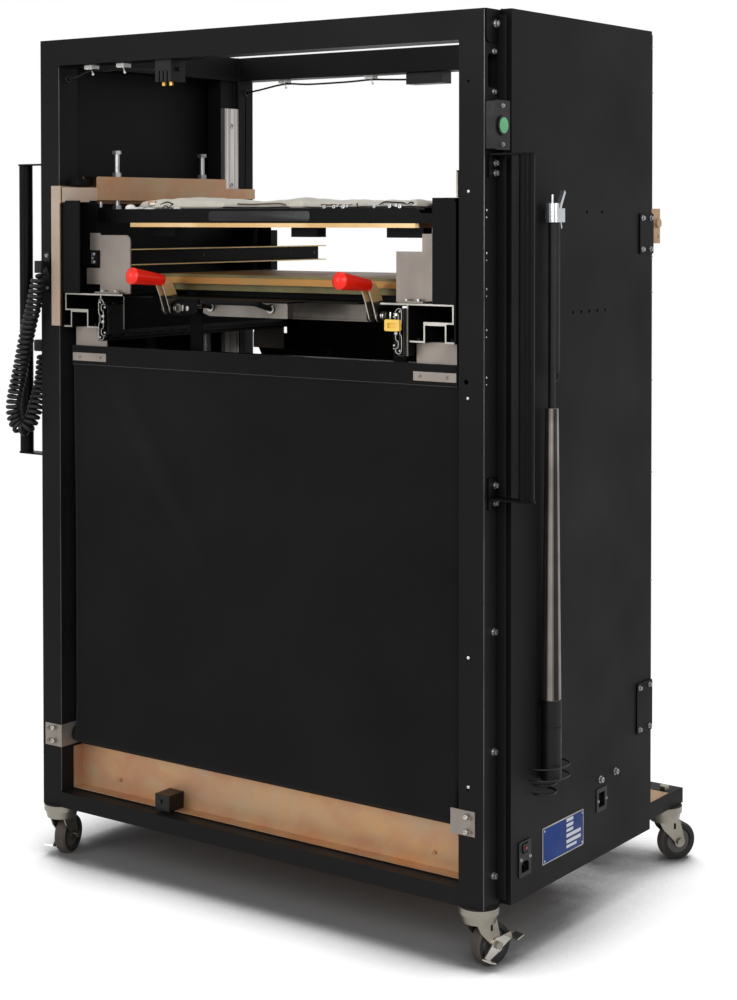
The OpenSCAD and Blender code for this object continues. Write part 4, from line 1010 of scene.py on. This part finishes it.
def make_latch_block():
    """The black catch and its screws on the left bracket, and the pin beside the arm."""
    work = bmesh.new()
    add_box(work, carried(-0.4375, 0.03, 0.0565), carried(-0.3955, 0.058, 0.0862), 0.0014)
    add_box(work, carried(-0.412, 0.0285, 0.06), carried(-0.3965, 0.0312, 0.0838))
    for x, z, r, h in ((-0.4035, 0.064, 0.0036, 0.0026), (-0.4035, 0.0795, 0.0036, 0.0026),
            (-0.407, 0.0718, 0.0026, 0.0022)):
        screw(work, carried(x, 0.0285, z), FRONT, r, h, 1)
    add_box(work, carried(-0.4105, 0.0276, 0.0606), carried(-0.4088, 0.0288, 0.0832), 0.0004, 1)
    pin = [(0.0033, 0), (0.0036, 0.001), (0.0036, 0.01), (0.002, 0.0115), (0, 0.0118)]
    add_turned(work, pin, carried(-0.414, 0.0585, 0.1715), UP, 16, 1)
    rivet(work, carried(-0.4366, 0.0198, 0.0832), FRONT, 0.004, 0.0018, 1)
    finish("latch_block", work, "carriage", ["black_parts", "screw_zinc"])


# The slides' ends in millimetres: body and section, outwards from an edge and down from the top
SLIDE_LIPS = {
    "outer": ("carriage", [(13, 10), (17, 5), (23, 4), (26, 9), (26, 30), (23, 34), (23, 48), (26, 52),
        (26, 76), (22, 82), (16, 81), (13, 76)]),
    "inner": ("drawer", [(9, 13), (14, 12), (19, 15), (19, 24), (14, 29), (14, 56), (19, 61), (19, 70),
        (14, 74), (9, 73)]),
}
SLIDE_BALLS = {"slide_middles": ((22.5, 9), (22.5, 77)), "drawer": ((10.5, 18.5), (10.5, 68))}
SLIDE_SIDES = ((-1, "l", 333, -4), (1, "r", 330, -2))


def make_slide_ends():
    """Bright rolled lips, bearing balls and rivets at the front ends of the telescopic slides."""
    turns = [math.pi * k / 10 for k in range(11)]
    ball = [(0.0024 * math.sin(a), -0.0024 * math.cos(a)) for a in turns]
    for side, name, edge, top in SLIDE_SIDES:

        def spot(x, y, z):
            return carried(side * (edge + x) / MM_PER_M, y, (top - z) / MM_PER_M)

        for plan, (body, points) in SLIDE_LIPS.items():
            route = spline_points([spot(x, -0.0058, z) for x, z in points], 4)
            curve_piece(f"slide_{plan}_lip_{name}", route, 0.00085, body, "cut_edge")
        for body, places in SLIDE_BALLS.items():
            work = bmesh.new()
            for x, z in places:
                add_turned(work, ball, spot(x, -0.0052, z), UP, 16)
            if body == "drawer":
                for z in (36, 47):
                    rivet(work, spot(15, -0.0055, z), FRONT, 0.0036, 0.0022)
            finish(f"{body}_balls_{name}", work, body, "screw_zinc")


WAND_X, WAND_Y = PANEL_X + 0.018, 0.16
WAND_GRIP = (0.335, 0.843)
WAND_R = (0.017, 0.0115)
HOLDER_R = 0.018


def arc_strip(work, radii, heights, angles, depth, slot=0):
    """A thin curved strip up the wand or its holder; angles in degrees from right towards back."""
    steps = 6
    part = bmesh.new()
    rows = []
    for r, z in zip(radii, heights):
        for reach in (r, r + depth):
            row = []
            for k in range(steps + 1):
                a = math.radians(angles[0] + (angles[1] - angles[0]) * k / steps)
                x, y = WAND_X + reach * math.cos(a), WAND_Y + reach * math.sin(a)
                row.append(part.verts.new(at(x, y, z)))
            rows.append(row)
    low_in, low_out, high_in, high_out = rows
    for a, b in ((low_in, low_out), (low_out, high_out), (high_out, high_in), (high_in, low_in)):
        for k in range(steps):
            part.faces.new((a[k], a[k + 1], b[k + 1], b[k]))
    for k in (0, steps):
        part.faces.new((low_in[k], low_out[k], high_out[k], high_in[k]))
    bmesh.ops.recalc_face_normals(part, faces=part.faces)
    take(work, part, slot)


def make_wand_highlight_and_gap_strips():
    foot, top = WAND_GRIP
    work = bmesh.new()
    # Slot 0: painted highlight strips down the wand; slot 1: dark strips for the gap between its two
    # tubes, and a thin dark line
    for angles, slot in (((-82, -54), 0), ((-96, -92), 1), ((-44, -13), 1), ((-11, 24), 0)):
        arc_strip(work, WAND_R, (foot + 0.001, top - 0.001), angles, 0.0004, slot)
    finish("wand_highlight_and_gap_strips", work, "wand", ["wand_painted_highlight", "dark_steel"])


def make_holder_trim():
    """The rim, seams and wire loops of the wand's holder."""
    work = bmesh.new()
    for angles in ((-60, -56), (0, 4)):
        arc_strip(work, (HOLDER_R, HOLDER_R), (0.205, WAND_GRIP[0] - 0.004), angles, 0.0003)
    rim = [(0.0178, 0), (0.019, 0.0004), (0.019, 0.003), (0.0178, 0.0034)]
    add_turned(work, rim, at(WAND_X, WAND_Y, 0.286), UP, 40)
    finish("holder_rim", work, "frame", "black_plastic")
    # A loop's points: x, y and how far it has dropped
    loop = ((PANEL_X, 0.116, 0), (0.56, 0.121, 0), (0.577, 0.138, 0), (0.5815, 0.165, 0.001),
        (0.577, 0.192, 0.002), (0.56, 0.209, 0.003), (PANEL_X, 0.214, 0.003))
    for k, z in enumerate((0.22, 0.2)):
        points = [at(x, y, z - drop) for x, y, drop in loop]
        wire(f"holder_loop_{k}", points, 0.0013, "frame", "dark_steel")


# ---- Fasteners and trim of the frame ----


def make_corner_screws():
    """Heads over the brackets' screws, and the small ones of the right post and panel."""
    work = bmesh.new()
    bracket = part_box("roller_brackets")[0].y
    for side in (-1, 1):
        for z in (0.1575, 0.1315):
            head = at(side * 0.4885, 0, z)
            head.y = bracket + 0.0002
            screw(work, head, FRONT, 0.005, 0.0034)
    for x, z in ((0.4897, 1.2174), (0.4886, 0.8677), (0.4899, 0.4277), (0.4901, 0.2073)):
        rivet(work, at(x, 0.0004, z), FRONT, 0.0031, 0.0018)
    for z in (1.1857, 1.1135, 1.053, 0.9841, 0.9041):
        rivet(work, at(0.5209, 0.0069, z), RIGHT, 0.0022, 0.0016)
        rivet(work, at(0.5209, 0.0069, z - 0.012), RIGHT, 0.0016, 0.001)
    for z in (1.0325, 0.8911, 0.6862, 0.4797):
        rivet(work, at(0.5345, 0.5648, z), BACK, 0.0042, 0.0034)
    finish("corner_screws", work, "frame", "bright_zinc")


def make_toggle_bolts():
    work = bmesh.new()
    # Radius, thickness and sides from the washer outwards
    stack = ((0.0088, 0.0014, 20), (0.0072, 0.0012, 20), (0.0085, 0.0014, 20), (0.006, 0.003, 6))
    for x in (-0.245, 0.245):
        for k, (r, t, sides) in enumerate(stack):
            profile = [(0, 0), (r, 0.0001), (r, t), (0, t + 0.0001)]
            add_turned(work, profile, carried(x + 0.0155 + 0.0022 * k, 0.074, -0.024), RIGHT, sides)
        for x0, x1, z0, z1, width in ((0.03, 0.033, -0.029, -0.0175, 0.0004),
                (0.04, 0.046, -0.0285, -0.0195, 0.0006)):
            add_box(work, carried(x + x0, 0.0735, z0), carried(x + x1, 0.076, z1), width)
    finish("toggle_bolts", work, "drawer", "bright_zinc")


def make_cord_gland():
    work = bmesh.new()
    start, end = at(-0.495, -0.0075, 1.0685), at(-0.5055, -0.0175, 1.064)
    nut = [(0, 0), (0.009, 0.0002), (0.0094, 0.004), (0.009, 0.0044)]
    sleeve = [(0.0075, 0.0044), (0.0084, 0.006), (0.0084, 0.01), (0.0062, 0.0135), (0.0048, 0.0142)]
    tip = [(0.0056, 0.0141), (0.0064, 0.0145), (0.006, 0.0157), (0.005, 0.0158)]
    for profile, sides, slot in ((nut, 6, 0), (sleeve, 20, 0), (tip, 20, 1)):
        add_turned(work, profile, start, end - start, sides, slot)
    finish("cord_gland", work, "frame", ["black_plastic", "bright_zinc"])


def make_arm_gusset():
    work = bmesh.new()
    outline = [(-0.4575, -0.0048), (-0.4272, 0.0612), (-0.4286, 0.0618), (-0.459, -0.0042)]
    add_prism(work, outline, carried(0, 0, 0.182), RIGHT, BACK, (0, 0, 0.029), 0.0003)
    finish("arm_gusset", work, "carriage", "dull_zinc")


def make_frame_edges():
    """The right panel's return, and painted highlight strips down the front edges of the posts, standing
    in for the light on their rounded corners.
    """
    work = bmesh.new()
    add_box(work, at(0.5214, 0.04, 0.012), at(0.5384, 0.0415, 1.515), 0.0003)
    finish("panel_return", work, "frame", "black_frame")
    work = bmesh.new()
    # Painted highlight: thin bright strips on the posts' front corners
    add_box(work, at(-0.4711, -0.0003, 0.034), at(-0.47, 0.0008, 1.47), 0.0003)
    add_box(work, at(0.5202, -0.0003, 0.002), at(0.5213, 0.0008, 1.522), 0.0003)
    finish("post_edge_highlights", work, "frame", "worn_edge")


def make_switch_mark():
    work = bmesh.new()
    low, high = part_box("power_switch")
    face = Vector((high.x, (low.y + high.y) / 2, (low.z + high.z) / 2))
    reach = Vector((-0.0001, -0.0022, -0.0012)), Vector((0.0003, 0.0022, 0.0016))
    add_box(work, face + reach[0], face + reach[1], 0.0002)
    finish("switch_mark", work, "power_switch", "red_plastic")


# ---- Studio ----

SKY_LEVEL = 0.34
FLOOR_REACH = 14
CONTACT_REACH = 0.3
WHITE_FROM = 2.4
LAMPS = {  # place, target, size, power
    "key": ((2.7, -3.3, 2.5), (0.1, -0.2, 0.9), (2.4, 2.4), 100),
    "front": ((-1.6, -4.4, 2.2), (-0.1, -0.3, 0.9), (2.0, 3.0), 74),
    "side": ((4.6, 0.6, 1.9), (0.5, 0.0, 0.9), (2.0, 3.0), 48),
    "top": ((0, 0.2, 4.6), (0, 0, 1), (3.0, 3.0), 34),
}


def area_light(name, place, target, size, power):
    width, height = size
    lamp = link(name, having(
        bpy.data.lights.new(name, "AREA"), shape="RECTANGLE", size=width, size_y=height, energy=power))
    lamp.location = place
    lamp.rotation_euler = (Vector(target) - Vector(place)).to_track_quat("-Z", "Y").to_euler()


def background_rays(tree):
    """One for rays from the camera, off a mirror or through glass, and zero for the rest."""
    path = tree.nodes.new("ShaderNodeLightPath")
    seen = path.outputs["Is Camera Ray"]
    for ray in ("Is Glossy Ray", "Is Transmission Ray"):
        either = having(tree.nodes.new("ShaderNodeMath"), operation="MAXIMUM")
        tree.links.new(seen, either.inputs[0])
        tree.links.new(path.outputs[ray], either.inputs[1])
        seen = either.outputs[0]
    return seen


def mix_shaders(tree, fac, low, high):
    mix = tree.nodes.new("ShaderNodeMixShader")
    for source, socket in zip((fac, low, high), mix.inputs):
        tree.links.new(source, socket)
    return mix.outputs[0]


def make_world():
    """Weak sky light on the object, and plain white behind it."""
    world = bpy.data.worlds.new("studio")
    SCENE.world = world
    world.use_nodes = True
    tree = world.node_tree
    sky = fill(tree.nodes["Background"], Color=(0.93, 0.95, 1, 1), Strength=SKY_LEVEL)
    white = fill(tree.nodes.new("ShaderNodeBackground"), Color=(1, 1, 1, 1), Strength=1)
    mixed = mix_shaders(tree, background_rays(tree), sky.outputs[0], white.outputs[0])
    tree.links.new(mixed, tree.nodes["World Output"].inputs["Surface"])


def floor_look():
    """Pale and matt. The camera sees soft shadows, with a painted contact shade from ambient occlusion
    near the object, and plain white further off.
    """
    look = Look("floor", "#f0f0f0")
    look.rough(look.noise(3), 0.8, 0.9)
    glow = fill(look.node("Emission"), Strength=0.95)
    # Painted contact shade: ambient occlusion darkens the glow near the object
    shade = fill(look.node("AmbientOcclusion", samples=16), Distance=CONTACT_REACH)
    look.wire(look.spread(shade.outputs["AO"], 0.5, 0.8), glow.inputs["Color"])
    matt = fill(look.node("BsdfDiffuse"), Color=(0.2, 0.2, 0.2, 1))
    lit = look.node("AddShader")
    look.wire(matt.outputs[0], lit.inputs[0])
    look.wire(glow.outputs[0], lit.inputs[1])
    ball = look.node("TexGradient", gradient_type="SPHERICAL")
    look.wire(look.mapped((1 / WHITE_FROM, 1 / WHITE_FROM, 1)), ball.inputs["Vector"])
    near = look.spread(ball.outputs["Fac"], 0.15, 0.6)
    shown = mix_shaders(look.tree, near, look.node("Emission").outputs[0], lit.outputs[0])
    mixed = mix_shaders(look.tree, background_rays(look.tree), look.shader.outputs[0], shown)
    look.wire(mixed, look.tree.nodes["Material Output"].inputs["Surface"])
    return look.material


def make_floor():
    data = bpy.data.meshes.new("floor")
    r = FLOOR_REACH
    data.from_pydata([(-r, -r, 0), (r, -r, 0), (r, r, 0), (-r, r, 0)], [], [(0, 1, 2, 3)])
    data.materials.append(floor_look())
    link("floor", data)


SCENE.view_settings.view_transform = "Standard"
make_camera()
make_materials()
make_cord()
paint_nodes()
paint_details()
make_curtain("front_cloth", "front_curtain", 0.0212, -1)
make_curtain("rear_cloth", "rear_curtain", 0.5908, 1)
make_curtain_hem()
make_stitches()
make_blanket()
make_rating_plate()
make_bare_plates()
make_ties()
make_grommets()
make_weld_beads()
make_ceramic_caps()
make_terminal_blocks()
make_braided_leads()
make_leads()
make_latch_block()
make_slide_ends()
make_wand_highlight_and_gap_strips()
make_holder_trim()
make_corner_screws()
make_toggle_bolts()
make_cord_gland()
make_arm_gusset()
make_frame_edges()
make_switch_mark()
make_world()
make_floor()
for lamp, values in LAMPS.items():
    area_light(lamp, *values)

bpy.context.view_layer.update()
